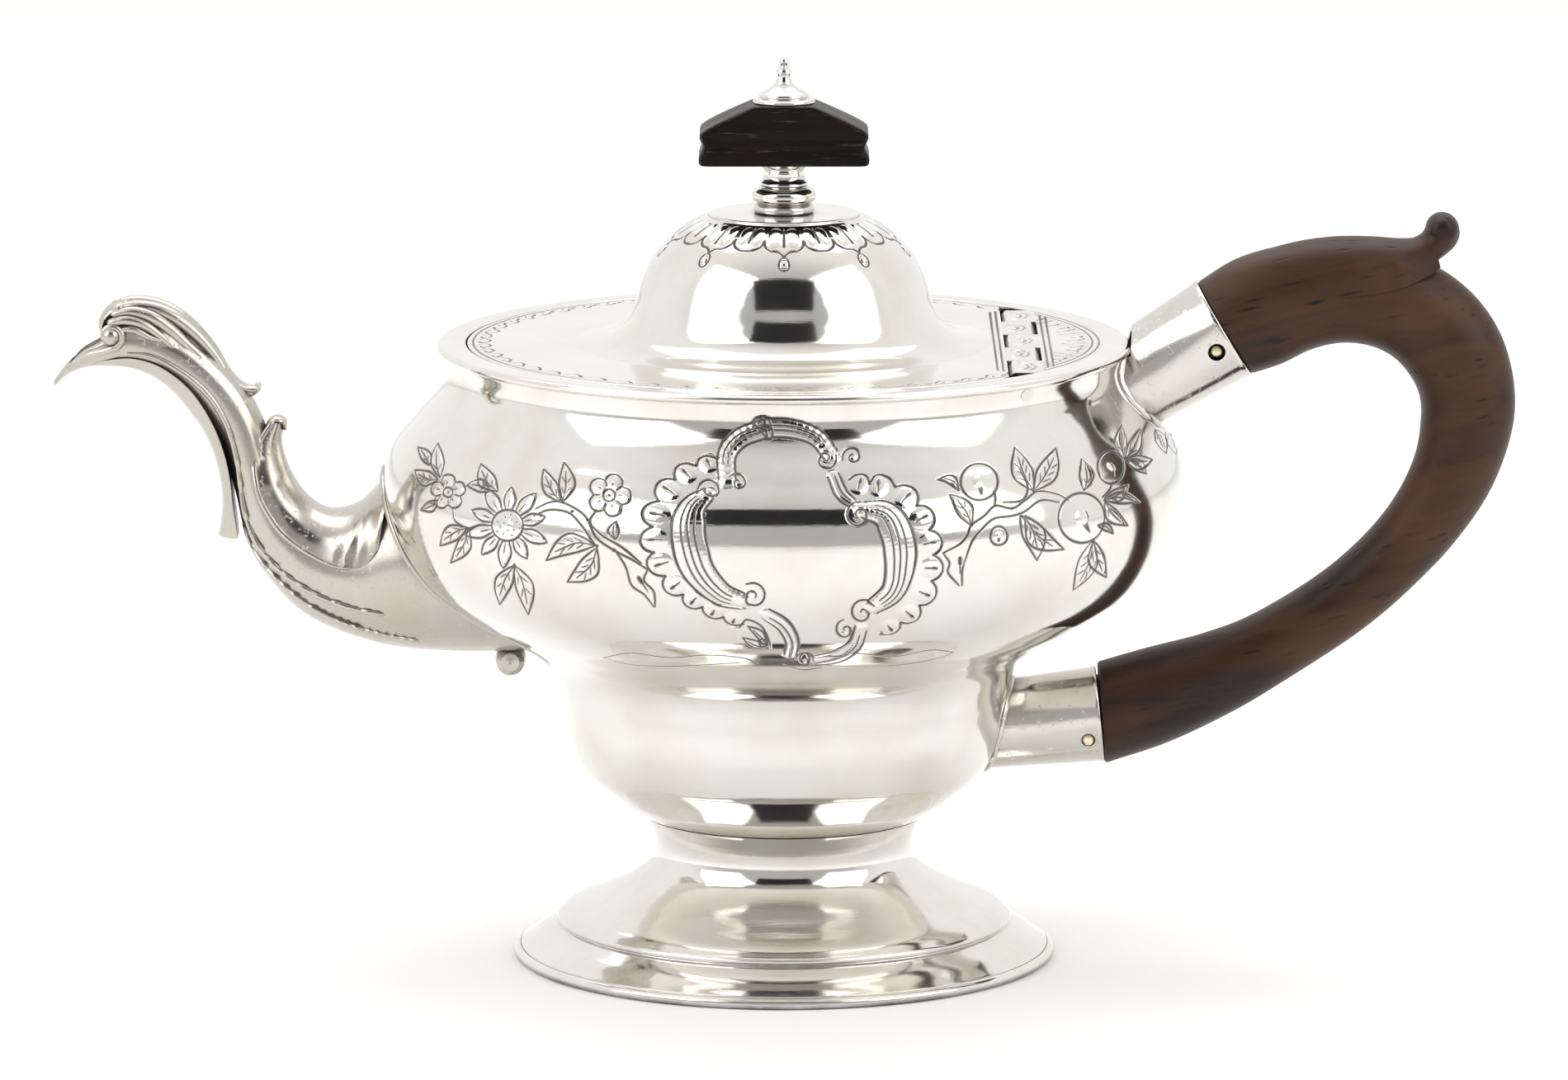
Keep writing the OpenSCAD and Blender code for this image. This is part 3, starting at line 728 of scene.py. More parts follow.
def chase_frame(c):
    """The scroll frame: one C over the top, one down each side, with volutes where they meet."""
    c.band([(-11.3, 12.0), (-11.3, 17.0), (-8.3, 20.5), (-2.7, 22.4), (-4.8, 22.2), (0.9, 22.2),
            (6.2, 20.5), (9.4, 16.7)], (1.7, 1.9, 1.9, 1.5))
    c.spiral((-9.1, 11.4), 1.9, 150, -1.3)
    c.spiral((8.3, 16.0), 2.1, 20, -1.3)
    c.band([(-14.9, 9.2), (-18.3, 6.0), (-19.0, 0.4), (-17.1, -5.9), (-12.7, -10.6),
            (-8.3, -12.2)], (1.3, 3.2, 3.4, 2.6, 1.6), rise=0.85, flutes=3)
    c.spiral((-14.7, 9.8), 2.6, 200, -1.4)
    c.spiral((-6.1, -11.2), 2.8, 120, -1.4)
    c.band([(15.6, 6.0), (20.3, 4.8), (22.8, -0.2), (23.0, -5.3), (21.5, -10.3),
            (17.5, -13.4)], (1.6, 3.0, 3.2, 2.4, 1.5), rise=0.85, flutes=3)
    c.spiral((14.8, 4.8), 2.9, 60, 1.4)
    c.spiral((15.6, -14.5), 2.8, 40, 1.3)
    c.band([(9.8, 12.9), (11.4, 9.2), (13.6, 7.2)], (1.1, 1.2, 0.9), rise=0.5, flutes=1)
    c.spiral((13.6, 16.6), 2.1, 200, -1.3)
    # Foot of the frame: two small scrolls and a leafy knot.
    c.band([(-3.6, -14.7), (-0.2, -16.9), (1.6, -20.0), (1.2, -22.8)], (1.1, 1.3, 1.2), rise=0.55, flutes=1)
    c.band([(15.3, -17.5), (13.8, -21.1), (10.3, -23.2), (5.0, -24.2)], (1.2, 1.3, 0.9),
            rise=0.55, flutes=1)
    for stroke in (
            ((12.2, -17.9), 2.1, 100, 1.2), ((4.2, -23.8), 1.6, 0, 1.2), ((4.0, -23.8), 1.6, 180, -1.2)):
        c.spiral(*stroke)
    for k, tip in enumerate(((-7.2, -17.2), (-5.0, -19.7), (-8.2, -19.4))):
        c.leaf((-3.3, -21.1), tip, 1.5, 0.1 * (k - 1), 0)
    for stroke in (
            ([(-8.9, -17.5), (-7.4, -15.9), (-4.5, -17.2), (-3.0, -20.0), (-2.7, -21.6)],),
            ([(-35.9, -23.4), (-30.3, -22.5), (-22.7, -23.4), (-15.2, -22.9), (-8.3, -23.4),
             (-5.2, -24.6)], 0.2, 0.12),
            ([(-35.9, -23.4), (-30.3, -24.8), (-22.7, -25.1), (-15.2, -24.8), (-8.9, -24.4)], 0.2, 0.12),
            ([(-0.2, -24.7), (3.6, -25.8), (7.4, -25.3)], 0.2, 0.12),
            ([(6.5, -23.4), (13.4, -22.5), (21.6, -23.2), (29.1, -21.9), (33.6, -22.3)], 0.2, 0.12),
            ([(6.5, -24.8), (15.3, -25.3), (24.1, -24.7), (31.0, -23.4), (33.6, -22.3)], 0.2, 0.12)):
        c.line(*stroke)


def chase_fringes(c):
    """Shell lobes round the outside of the two side scrolls."""
    c.fringe([(-7.7, -15.9), (-14.3, -12.8), (-20.2, -7.1), (-22.4, -0.2), (-21.5, 6.7), (-17.4, 12.0),
              (-12.4, 14.8)], 10, (1.5, 2.4, 4.2, 6.2, 6.0, 4.6, 2.4))
    c.fringe([(12.2, 9.8), (16.6, 8.5), (21.0, 7.9), (25.0, 3.5), (26.6, -2.1), (26.3, -8.4),
              (23.5, -13.4), (18.5, -17.8)], 9, (3.8, 4.6, 4.8, 5.0, 4.8, 3.8, 2.0))


def chase_flowers(c):
    """The flower spray on the spout's side."""
    c.sunflower((-55.0, 2.9), 3.1, 8.6, 10)
    c.blossom((-66.8, 9.5), 3.4, 5)
    c.blossom((-34.7, 8.9), 4.2, 5, turn=70)
    for stroke in (
            ((-68.4, 12.4), (-68.8, 19.3), 2.6, 0.05, 1), ((-70.5, 14.8), (-72.8, 18.5), 2.0, -0.1, 1),
            ((-68.8, 12.0), (-73.4, 13.9), 3.0, 0.15, 2), ((-68.8, 7.9), (-72.3, 6.0), 2.0, 0.1, 1),
            ((-62.9, 2.4), (-68.4, -1.2), 3.2, -0.12, 2), ((-62.9, 2.4), (-66.3, -4.6), 2.8, 0.12, 2),
            ((-56.9, 9.7), (-60.3, 15.2), 3.4, 0.12, 2), ((-58.4, 9.7), (-63.1, 10.9), 2.4, -0.12, 1),
            ((-53.6, -5.1), (-56.5, -12.9), 3.4, -0.10, 2), ((-53.6, -5.1), (-50.8, -14.9), 3.4, 0.08, 2),
            ((-44.1, 7.5), (-47.8, 14.2), 3.0, 0.08, 2), ((-44.1, 7.5), (-43.7, 15.5), 3.2, -0.10, 2),
            ((-33.4, 0.1), (-33.3, 3.7), 2.2, 0.15, 0), ((-37.4, -1.1), (-47.3, -4.1), 4.0, -0.18, 3),
            ((-37.2, -1.6), (-43.1, -8.4), 4.2, 0.16, 3)):
        c.leaf(*stroke)
    for knots in (
            [(-65.9, 6.0), (-65.4, 3.8), (-62.9, 2.4), (-61.0, 2.9)],
            [(-49.4, 6.2), (-46.6, 7.5), (-44.1, 7.5), (-40.9, 5.9), (-39.0, 4.0), (-37.2, 0.4),
             (-33.7, -2.1), (-30.0, -4.0), (-27.1, -5.9)],
            [(-49.7, 4.8), (-46.6, 6.0), (-42.8, 5.4), (-40.3, 2.9), (-37.4, -1.1)],
            [(-38.3, 2.9), (-35.9, 0.7), (-32.1, -1.5), (-28.4, -4.6)],
            [(-37.2, 6.0), (-38.5, 4.0), (-38.0, 2.3)],
            [(-33.7, -1.8), (-31.5, -5.3), (-30.3, -9.0), (-27.8, -10.9), (-25.9, -13.3)],
            [(-27.1, -5.9), (-27.8, -8.1), (-25.9, -10.3), (-25.6, -13.3)]):
        c.line(knots)
    c.drop((-28.9, -7.5), (-27.0, -10.4), 0.5)
    for at in ((-44.1, 7.5), (-39.0, 4.0), (-37.2, -1.2), (-42.1, 5.7), (-33.7, -2.2), (-64.3, 2.7),
               (-53.6, -5.0)):
        c.dot(at, 0.34)


def chase_fruit(c):
    """The fruit spray on the handle's side, and leaves under the upper socket."""
    for stroke in (
            ((38.8, 11.6), 3.7, 0.98, 100), ((59.2, 4.4), 4.6, 1.08, 120), ((65.0, 14.5), 2.6, 1.25, 110)):
        c.fruit(*stroke)
    for stroke in (
            ((37.2, 2.9), (32.9, 9.1), 3.2, -0.10, 2), ((34.8, 9.8), (30.4, 12.0), 1.8, -0.25, 0),
            ((49.6, 9.8), (45.9, 18.5), 4.0, 0.06, 3), ((49.6, 9.8), (54.1, 18.3), 4.0, -0.08, 3),
            ((59.7, 9.9), (59.2, 16.2), 2.8, -0.12, 1), ((46.9, 4.8), (50.3, -4.1), 4.4, 0.14, 3),
            ((47.9, 4.9), (55.7, -1.9), 4.2, -0.16, 3), ((61.4, -0.2), (57.5, -10.0), 3.6, 0.06, 3),
            ((61.6, -0.2), (64.1, -7.5), 3.4, -0.10, 2), ((62.4, 2.9), (65.5, 1.3), 1.5, 0.15, 0),
            ((67.7, 16.1), (67.1, 22.9), 2.4, 0.06, 1), ((67.9, 16.1), (70.7, 22.2), 2.4, -0.08, 1),
            ((68.1, 16.0), (73.2, 16.0), 2.8, -0.12, 1), ((68.1, 15.7), (72.0, 13.2), 2.0, 0.10, 0),
            ((63.6, 7.9), (68.4, 10.9), 2.4, -0.10, 1), ((63.6, 7.9), (70.7, 7.5), 2.2, 0.10, 1),
            ((63.8, 7.5), (68.4, 2.9), 2.6, -0.12, 1)):
        c.leaf(*stroke)
    c.fruit((42.7, 0.8), 1.7, 1.1, 90)
    for knots in (
            [(41.7, 9.8), (42.0, 8.4), (41.9, 6.9)],
            [(31.6, -2.6), (34.8, -0.9), (36.4, 1.0), (37.2, 2.9), (39.8, 4.8), (42.0, 6.8),
             (45.4, 6.3), (47.9, 7.9), (50.5, 9.7), (54.2, 9.2), (56.7, 7.9)],
            [(35.8, -4.6), (37.4, -0.2), (39.2, 2.0), (41.7, 4.2), (45.4, 4.8), (47.9, 5.7),
             (51.1, 7.9), (54.8, 7.5)], [(43.6, 7.5), (47.3, 7.9), (48.4, 10.4), (46.7, 14.2)],
            [(63.3, 8.5), (64.6, 9.8), (65.5, 11.7)],
            [(31.6, -2.6), (32.9, -4.6), (32.6, -6.5), (34.8, -9.1)],
            [(35.8, -4.6), (35.4, -6.5), (35.4, -9.1)]):
        c.line(knots)
    c.drop((35.0, -3.6), (35.0, -6.8), 0.5)
    for at in ((37.2, 2.9), (42.0, 6.9), (45.3, 6.3), (49.6, 9.8), (47.3, 4.7), (61.5, -0.2), (67.9, 16.1)):
        c.dot(at, 0.34)
    # Pointed leaves under the upper socket.
    for base, tip, width in (((73.7, 22.0), (75.9, 17.2), 2.2), ((75.8, 22.0), (77.9, 17.0), 2.0),
                             ((76.7, 22.0), (78.8, 18.0), 1.4)):
        c.leaf(base, tip, width, 0.05, 1)


# ---------------------------------------------------------------- the bowl
WALL = 1.0
WIDEST = 79.58
BOWL_KNOTS = [
    (28.8, 28.9), (34.8, 33.0), (40.6, 38.4), (43.4, 45.0), (44.8, 53.0), (47.2, 60.0), (54.0, 65.2),
    (63.0, 70.2), (71.6, 76.4), (77.2, 84.6), (79.6, 94.0), (78.2, 101.8), (73.4, 108.0),
    (68.4, 113.8), (66.5, 118.0), (67.4, 122.3),
]
FLOOR_Z, BOWL_TOP, FLOOR_HOLE_R = 28.6, 122.3, 3.0
STRAINER_HOLE_R, STRAINER_PITCH, STRAINER_Z = 1.1, 4.6, 81.0
bowl_outside = resample(spline(BOWL_KNOTS, 16), count=900)


def bowl_radius(z):
    return np.interp(z, bowl_outside[:, 1], bowl_outside[:, 0])


def close_seam(bm):
    """Joins the sheet's first row to its last."""
    bmesh.ops.remove_doubles(bm, verts=[v for v in bm.verts if v.is_boundary], dist=1e-7)


def finish_sheet(name, built, caps, material, body, replaced, trim=None):
    """Makes the object, with the sheet's own normals and a grime attribute that follows the chased lines."""
    verts, faces, normals, grime = built
    mesh = bpy.data.meshes.new(name)
    mesh.from_pydata((verts * MM).tolist(), [], faces + caps)
    marks = mesh.attributes.new("grime", "FLOAT", "POINT")
    marks.data.foreach_set("value", grime.astype(np.float32))
    facing = mesh.attributes.new("sheet_normal", "FLOAT_VECTOR", "POINT")
    facing.data.foreach_set("vector", normals.astype(np.float32).ravel())
    edit(mesh, close_seam)
    if trim:
        mesh = trim(mesh) or mesh
    mesh.shade_smooth()
    vectors = np.zeros(len(mesh.vertices) * 3, np.float32)
    mesh.attributes["sheet_normal"].data.foreach_get("vector", vectors)
    mesh.normals_split_custom_set_from_vertices(vectors.reshape(-1, 3).tolist())
    mesh.attributes.remove(mesh.attributes["sheet_normal"])
    add_object(name, mesh, material, body, replaced)


def drill_strainer(mesh):
    """Nineteen small holes through the wall behind the spout, in five rows."""
    turn = turn_angles(20)
    row_pitch = STRAINER_PITCH * math.sin(math.radians(60))
    verts, faces = [], []
    for row in range(-2, 3):
        for column in range(5 - abs(row)):
            y = (column - (4 - abs(row)) / 2) * STRAINER_PITCH + STRAINER_HOLE_R * np.cos(turn)
            z = STRAINER_Z + row * row_pitch + STRAINER_HOLE_R * np.sin(turn)
            shape = skin([np.column_stack([x + 0 * turn, y, z]) for x in (-90.0, -60.0)])
            faces += [[k + len(verts) for k in f] for f in shape[1]]
            verts += (np.asarray(shape[0]) * MM).tolist()
    base = bpy.data.objects.new("drilled", mesh)
    bpy.context.scene.collection.objects.link(base)
    combine(base, [(verts, faces)], "DIFFERENCE")
    mesh = base.data
    bpy.data.objects.remove(base)
    mesh.materials.clear()
    return mesh


def make_bowl():
    """The raised bowl with its chasing, its inner wall and the holes of the strainer."""
    inner = offset(bowl_outside, WALL)
    inner = inner[(inner[:, 1] > FLOOR_Z + WALL) & (inner[:, 0] > 20)][::-1]
    inner = np.vstack([[inner[0][0], BOWL_TOP], inner[1:], [inner[-1][0] - 1.0, FLOOR_Z + WALL]])
    spans = [
        (np.array([(FLOOR_HOLE_R, FLOOR_Z), (28.0, FLOOR_Z)]), 3, False),
        (np.vstack([[(28.0, FLOOR_Z)], bowl_outside]), 112, True),
        (np.array([bowl_outside[-1], inner[0]]), 1, False),
        (inner, 60, False),
        (np.array([inner[-1], (FLOOR_HOLE_R, FLOOR_Z + WALL)]), 3, False),
    ]
    sheet = TurnedSheet(spans, 368)
    chaser = Chaser(sheet, bowl_radius)
    for chase in (chase_frame, chase_fringes, chase_flowers, chase_fruit):
        chase(chaser)
    built = sheet.build()
    verts = built[0]
    verts[:, :2] *= np.minimum(1, WIDEST / np.maximum(np.hypot(verts[:, 0], verts[:, 1]), 1))[:, None]
    # The floor's middle, which the turned sheet leaves open, is closed by one face on each side.
    first = np.nonzero(np.abs(np.hypot(verts[:, 0], verts[:, 1]) - FLOOR_HOLE_R) < 1e-6)[0]
    caps = []
    for z, turn in ((FLOOR_Z, -1), (FLOOR_Z + WALL, 1)):
        ring = first[np.abs(verts[first, 2] - z) < 1e-6]
        ring = ring[np.argsort(np.arctan2(verts[ring, 1], verts[ring, 0]))][::turn]
        caps.append(ring.tolist())
    drill = drill_strainer
    finish_sheet("bowl", built, caps, polished, POT, ["body"], drill)


# ---------------------------------------------------------------- the lid, the fixed leaf and their borders
LID_TOP, PLATE, LID_R, RIM_INNER_R, RIM_OUTER_R = 123.5, 1.2, 62.7, 63.0, 68.7
HINGE_X, HINGE_Z, LEAF_GAP = 47.0, 120.3, 3.5
DOME_TOP, STEM_HOLE_R = 149.2, 1.6
DOME_KNOTS = [
    (15.1, 148.6), (18.0, 147.3), (21.6, 144.9), (24.6, 142.0), (26.8, 138.6), (28.4, 134.6),
    (29.6, 130.6), (31.4, 127.0), (35.2, 124.6), (41.0, 123.5),
]


class RoundBorder:
    """Chased strokes on a turned sheet, given by angle in degrees from the camera side and by radius."""

    def __init__(self, sheet):
        self.sheet = sheet
        rows = np.nonzero(sheet.show)[0]
        self.r, self.s = sheet.p[rows, 0][::-1], sheet.s[rows][::-1]

    def path(self, knots, step, curved=True):
        """Angle round the pot and place along the sheet, at even steps."""
        p = spline(knots, 10) if curved and len(knots) > 2 else np.asarray(knots, float)
        flat = np.column_stack([np.radians(p[:, 0]) * p[:, 1], p[:, 1]])
        n = max(2, int(lengths(flat)[-1] / step) + 1)
        at = np.linspace(0, lengths(flat)[-1], n)
        angle, radius = (np.interp(at, lengths(flat), p[:, i]) for i in (0, 1))
        return np.radians(angle - 90), np.interp(radius, self.r, self.s)

    def line(self, knots, width=0.27, depth=0.17, curved=True, taper=0.3):
        theta, s = self.path(knots, 0.13, curved)
        u = np.linspace(-1, 1, len(theta))
        self.sheet.cut(theta, s, depth, width * (1 - taper * np.abs(u) ** 3))

    def straight(self, x, half_y, width=0.24):
        """A line at right angles to the pot's length, x from the axis."""
        slope = np.linspace(-math.atan2(half_y, x), math.atan2(half_y, x), 60)
        self.line([(90 + math.degrees(a), x / math.cos(a)) for a in slope], width, 0.16, False, 0)

    def drop(self, angle, start, end, width):
        """A vein that widens from start to end."""
        theta, s = self.path([(angle, start), (angle, end)], 0.13, False)
        self.sheet.cut(theta, s, 0.2, width * np.linspace(0.55, 1.0, len(theta)))

    def ring(self, radius, width=0.22):
        self.line([(a, radius) for a in range(0, 361, 2)], width, 0.14, False, 0)

    def boss(self, angle, radius, size):
        across = math.degrees(size / radius)
        turn = np.radians(np.arange(0, 361, 24))
        loop = np.column_stack([angle + across * np.cos(turn), radius + size * np.sin(turn)])
        self.line(loop, 0.22, 0.16, True, 0)
        theta, s = self.path([(angle, radius - 0.02), (angle, radius + 0.02)], 0.02, False)
        self.sheet.raise_along(theta, s, 0.45, size * 0.9)

    def swell(self, knots, rise, width):
        theta, s = self.path(knots, 0.35)
        fade = np.sqrt(1 - np.linspace(-0.9, 0.9, len(theta)) ** 4)
        self.sheet.raise_along(theta, s, rise * fade, width * fade)


def chase_dome(border):
    """Nine pointed lobes with nine round ones between them, hanging from the disc on top."""
    lobes, big = 9, 11.2
    period = 360 / lobes
    cusp, tip = 20.1, 22.9
    for i in range(lobes):
        a = i * period
        wide = [(big, cusp), (9.6, 21.2), (6.6, 21.9), (3.0, 22.1), (0.9, 22.6), (0, tip)]
        border.line([(a + x, r) for x, r in wide] + [(a - x, r) for x, r in wide[-2::-1]], 0.30, 0.2, True,
                    0)
        half, mid = period / 2 - big, a + period / 2
        narrow = [(half, cusp), (half * 0.8, 21.2), (half * 0.4, 21.9), (0, 22.0)]
        border.line([(mid - x, r) for x, r in narrow] + [(mid + x, r) for x, r in narrow[-2::-1]], 0.30,
                    0.2, True, 0)
        for side in (-1, 1):
            border.drop(a + side * big, cusp - 0.5, cusp + 0.1, 0.5)
            border.swell([(a + side * 5.4, 16.6), (a + side * 5.2, 20.8)], 0.22, 1.3)
            border.swell([(mid + side * 4.2, 16.6), (mid + side * 4.2, 20.4)], 0.2, 1.1)
        border.drop(a, 16.6, 21.0, 0.34)
        border.drop(mid, 16.4, 20.2, 0.32)
        border.boss(a, 24.2, 1.05)


def chase_lid_edge(border, count=62):
    """A line round the edge, and inside it a running wave with a leaf tip in each hollow."""
    border.ring(61.5, 0.24)
    pitch = 360 / count
    for i in range(count):
        a, lift = i * pitch, 0.25 * math.sin(2.4 * i)
        border.line([(a, 60.0), (a + 0.16 * pitch, 58.9), (a + 0.42 * pitch, 58.2 + lift),
                     (a + 0.7 * pitch, 58.5),
                     (a + 0.88 * pitch, 59.4), (a + 1.02 * pitch, 59.9)], 0.25, 0.16)
        border.line([(a + 0.62 * pitch, 60.4), (a + 0.84 * pitch, 60.0), (a + 0.92 * pitch, 59.5)], 0.34,
                    0.18)
        border.line([(a + 0.2 * pitch, 60.6), (a + 0.36 * pitch, 59.7)], 0.2, 0.12, False)


def chase_leaf(border):
    """Two lines round the fixed leaf, and ragged foliage inside them."""
    border.ring(62.3, 0.22)
    border.ring(61.0, 0.22)
    border.straight(HINGE_X + LEAF_GAP + 0.9, 33.0)
    border.straight(HINGE_X + LEAF_GAP + 2.0, 31.5)
    for i in range(-9, 10):
        a = 90 + i * 3.9
        deep = 57.4 + 1.1 * math.sin(i * 1.9)
        tip = [(a - 1.9, 59.4), (a - 1.0, deep + 0.9), (a, deep - 1.3), (a + 0.7, deep + 0.7),
               (a + 1.9, 59.2)]
        border.line(tip, 0.26, 0.17, True, 0.2)
        border.line([(a - 0.2, 60.2), (a + 0.5, 58.2)], 0.24, 0.14, False)
        border.line([(a + 1.3, 60.3), (a + 1.8, 58.9)], 0.2, 0.12, False)


def cut_off(bm, point, normal):
    """Removes what lies beyond the plane and closes the cut."""
    geom = bm.verts[:] + bm.edges[:] + bm.faces[:]
    done = bmesh.ops.bisect_plane(bm, geom=geom, dist=1e-7, plane_co=point, plane_no=normal,
                                  clear_outer=True)
    edges = [e for e in done["geom_cut"] if isinstance(e, bmesh.types.BMEdge)]
    bmesh.ops.holes_fill(bm, edges=edges, sides=0)


def trim_with(planes):
    """A step for finish_sheet that cuts the sheet at each plane, given by a point and a normal."""
    def trim(mesh):
        for point, normal in planes:
            edit(mesh, lambda bm: cut_off(bm, Vector(point) * MM, normal))
    return trim


def make_lid():
    """The lid's plate and hollow dome in one sheet, cut straight along the hinge."""
    dome = spline(DOME_KNOTS, 10)
    under = offset(dome, -PLATE)[::-1]
    under = under[(under[:, 1] >= LID_TOP - PLATE) & (under[:, 0] > 14.0)]
    disc = [(STEM_HOLE_R, DOME_TOP), (14.5, DOME_TOP), (14.85, 149.12), (15.0, 148.85), (14.9, 148.62)]
    top = np.vstack([disc, dome, [(LID_R - 0.15, LID_TOP)]])
    spans = [
        (np.vstack([[(STEM_HOLE_R, DOME_TOP - PLATE), (14.0, DOME_TOP - PLATE)], under[::-1],
                    [(LID_R, LID_TOP - PLATE)]]), 24, False),
        (np.array([(LID_R, LID_TOP - PLATE), (LID_R, LID_TOP - 0.15), top[-1]]), 2, False),
        (top[::-1], 68, True),
        (np.array([(STEM_HOLE_R, DOME_TOP), (STEM_HOLE_R, DOME_TOP - PLATE)]), 1, False),
    ]
    sheet = TurnedSheet(spans, 300)
    border = RoundBorder(sheet)
    chase_dome(border)
    chase_lid_edge(border)
    border.straight(HINGE_X - LEAF_GAP - 0.9, 38.0)
    border.straight(HINGE_X - LEAF_GAP - 2.0, 37.0)
    chord = HINGE_X - LEAF_GAP
    corner_y = math.sqrt(LID_R**2 - chord**2)
    planes = [((chord, 0, 0), (1, 0, 0))]
    for side in (-1, 1):
        planes.append(((chord - 0.45, side * corner_y, 0), Vector((0.80, side * 0.60, 0)).normalized()))
    finish_sheet("lid_sheet", sheet.build(), [], polished, LID, ["lid"],
                 trim_with(planes))


def make_rim():
    """The flat ring with its rounded lip, and the D-shaped leaf behind the hinge."""
    low, high, lip, lip_depth = LID_TOP - PLATE, LID_TOP, RIM_OUTER_R, 1.7
    outer = spline([(lip - 1.6, high), (lip - 0.9, high), (lip - 0.25, high - 0.28), (lip, high - 0.85),
                    (lip - 0.25, high - 1.42), (lip - 0.8, high - lip_depth)], 5)
    ring = [(RIM_INNER_R, low), (RIM_INNER_R, high)] + points(outer)
    ring += [(lip - 1.2, high - lip_depth), (lip - 1.2, low)]
    lathe("rim_ring", ring, "rim_plate", POT, 288, 0.12)
    edge, inside = RIM_INNER_R + 0.02, 44.0
    corners = [(inside, low), (edge, low), (edge, high), (inside, high), (inside, low)]
    spans = [(np.array(corners[k:k + 2]), rows, rows == 16) for k, rows in enumerate((2, 1, 16, 1))]
    sheet = TurnedSheet(spans, 300)
    chase_leaf(RoundBorder(sheet))
    trim = trim_with([((HINGE_X + LEAF_GAP, 0, 0), (-1, 0, 0))])
    finish_sheet("fixed_leaf", sheet.build(), [], polished, POT, ["rim_plate"], trim)


def knuckle_profile(top):
    """A knuckle's section from the hinge's axis: round below, with a flat tab on top towards one side."""
    tab, round_top = top - 1.1, top - 1.6
    profile = [(-LEAF_GAP, top), (-LEAF_GAP, tab), (-2.9, tab)]
    turn = np.radians(np.arange(160, 381, 10))
    profile += [(x, z) for x, z in zip(KNUCKLE_R * np.cos(turn),
                                       KNUCKLE_R * np.sin(turn)) if z < tab - 0.05]
    far = math.hypot(KNUCKLE_FLAT, top)
    start = math.atan2(round_top, math.sqrt(far**2 - round_top**2))
    return profile + [(far * math.cos(t), far * math.sin(t))
                      for t in np.linspace(start, math.atan2(top, KNUCKLE_FLAT), 6)]


def half_moon(x, y, z, radius):
    """A curved chisel mark in the plane of the hinge's top."""
    a = np.radians(np.linspace(-82, 82, 16))
    path = np.column_stack([x + radius * np.cos(a) * 0.8, y + radius * np.sin(a), np.full(16, z)])
    return strand(path, [0.12, 0.30, 0.36, 0.30, 0.12], 8, 0.9)


KNUCKLES, KNUCKLE_R, KNUCKLE_FLAT = 5, 3.1, 2.25
HINGE_HALF, HINGE_END, KNUCKLE_GAP = 41.0, 39.2, 0.1


def make_knuckles():
    """Five knuckles with flat, slightly eased tops; each carries two chased half-moons."""
    length, top = 2 * HINGE_HALF / KNUCKLES, LID_TOP - HINGE_Z - 0.02
    for side, body, node, first, mark_x in ((1, POT, "body_hinge_knuckles", 0, HINGE_X - 1.9),
                                            (-1, LID, "lid_hinge_knuckles", 1, HINGE_X - 2.9)):
        profile = [(-side * x, z) for x, z in knuckle_profile(top)] if side > 0 else knuckle_profile(top)
        verts, faces, marks = [], [], []
        n = len(profile)
        for i in range(first, KNUCKLES, 2):
            y0 = max(-HINGE_HALF + i * length + KNUCKLE_GAP, -HINGE_END)
            y1 = min(-HINGE_HALF + (i + 1) * length - KNUCKLE_GAP, HINGE_END)
            base = len(verts)
            for y in (y0, y0 + 0.12, y1 - 0.12, y1):
                ease = 0.1 if y in (y0, y1) else 0.0
                verts += [(HINGE_X + x, y, HINGE_Z + min(z, top - ease)) for x, z in profile]
            for a in range(base, base + 3 * n, n):
                faces += [(a + k, a + (k + 1) % n, a + n + (k + 1) % n, a + n + k) for k in range(n)]
            faces += [tuple(range(base, base + n)), tuple(range(base + 4 * n - 1, base + 3 * n - 1, -1))]
            shift = 0.6 if i == 0 else -0.6 if i == KNUCKLES - 1 else 0.0
            y = -HINGE_HALF + (i + 0.5) * length + shift
            marks += [half_moon(mark_x, y, HINGE_Z + top, size) for size in (5.0, 3.3)]
        knuckles = solid(node, (verts, faces))
        combine(knuckles, marks, "DIFFERENCE")
        finish_solid(node + "_tops", knuckles, hinge_silver, body, [node], 30)


# ---------------------------------------------------------------- closed skins and solid combinations
def skin(rings):
    """A closed solid through rings of points, each end closed by a fan."""
    rings = [np.asarray(r, float) for r in rings]
    m, n = len(rings[0]), len(rings)
    verts = np.vstack(rings + [rings[0].mean(axis=0), rings[-1].mean(axis=0)])
    faces = []
    for i in range(n - 1):
        for k in range(m):
            j = (k + 1) % m
            faces.append((i * m + k, i * m + j, (i + 1) * m + j, (i + 1) * m + k))
    for k in range(m):
        j = (k + 1) % m
        faces.append((j, k, n * m))
        faces.append(((n - 1) * m + k, (n - 1) * m + j, n * m + 1))
    return verts, faces


def torus_faces(n, m):
    """The faces of n rings of m points that close on themselves both ways."""
    faces = []
    for i in range(n):
        a, b = i * m, (i + 1) % n * m
        faces += [(a + k, a + (k + 1) % m, b + (k + 1) % m, b + k) for k in range(m)]
    return faces


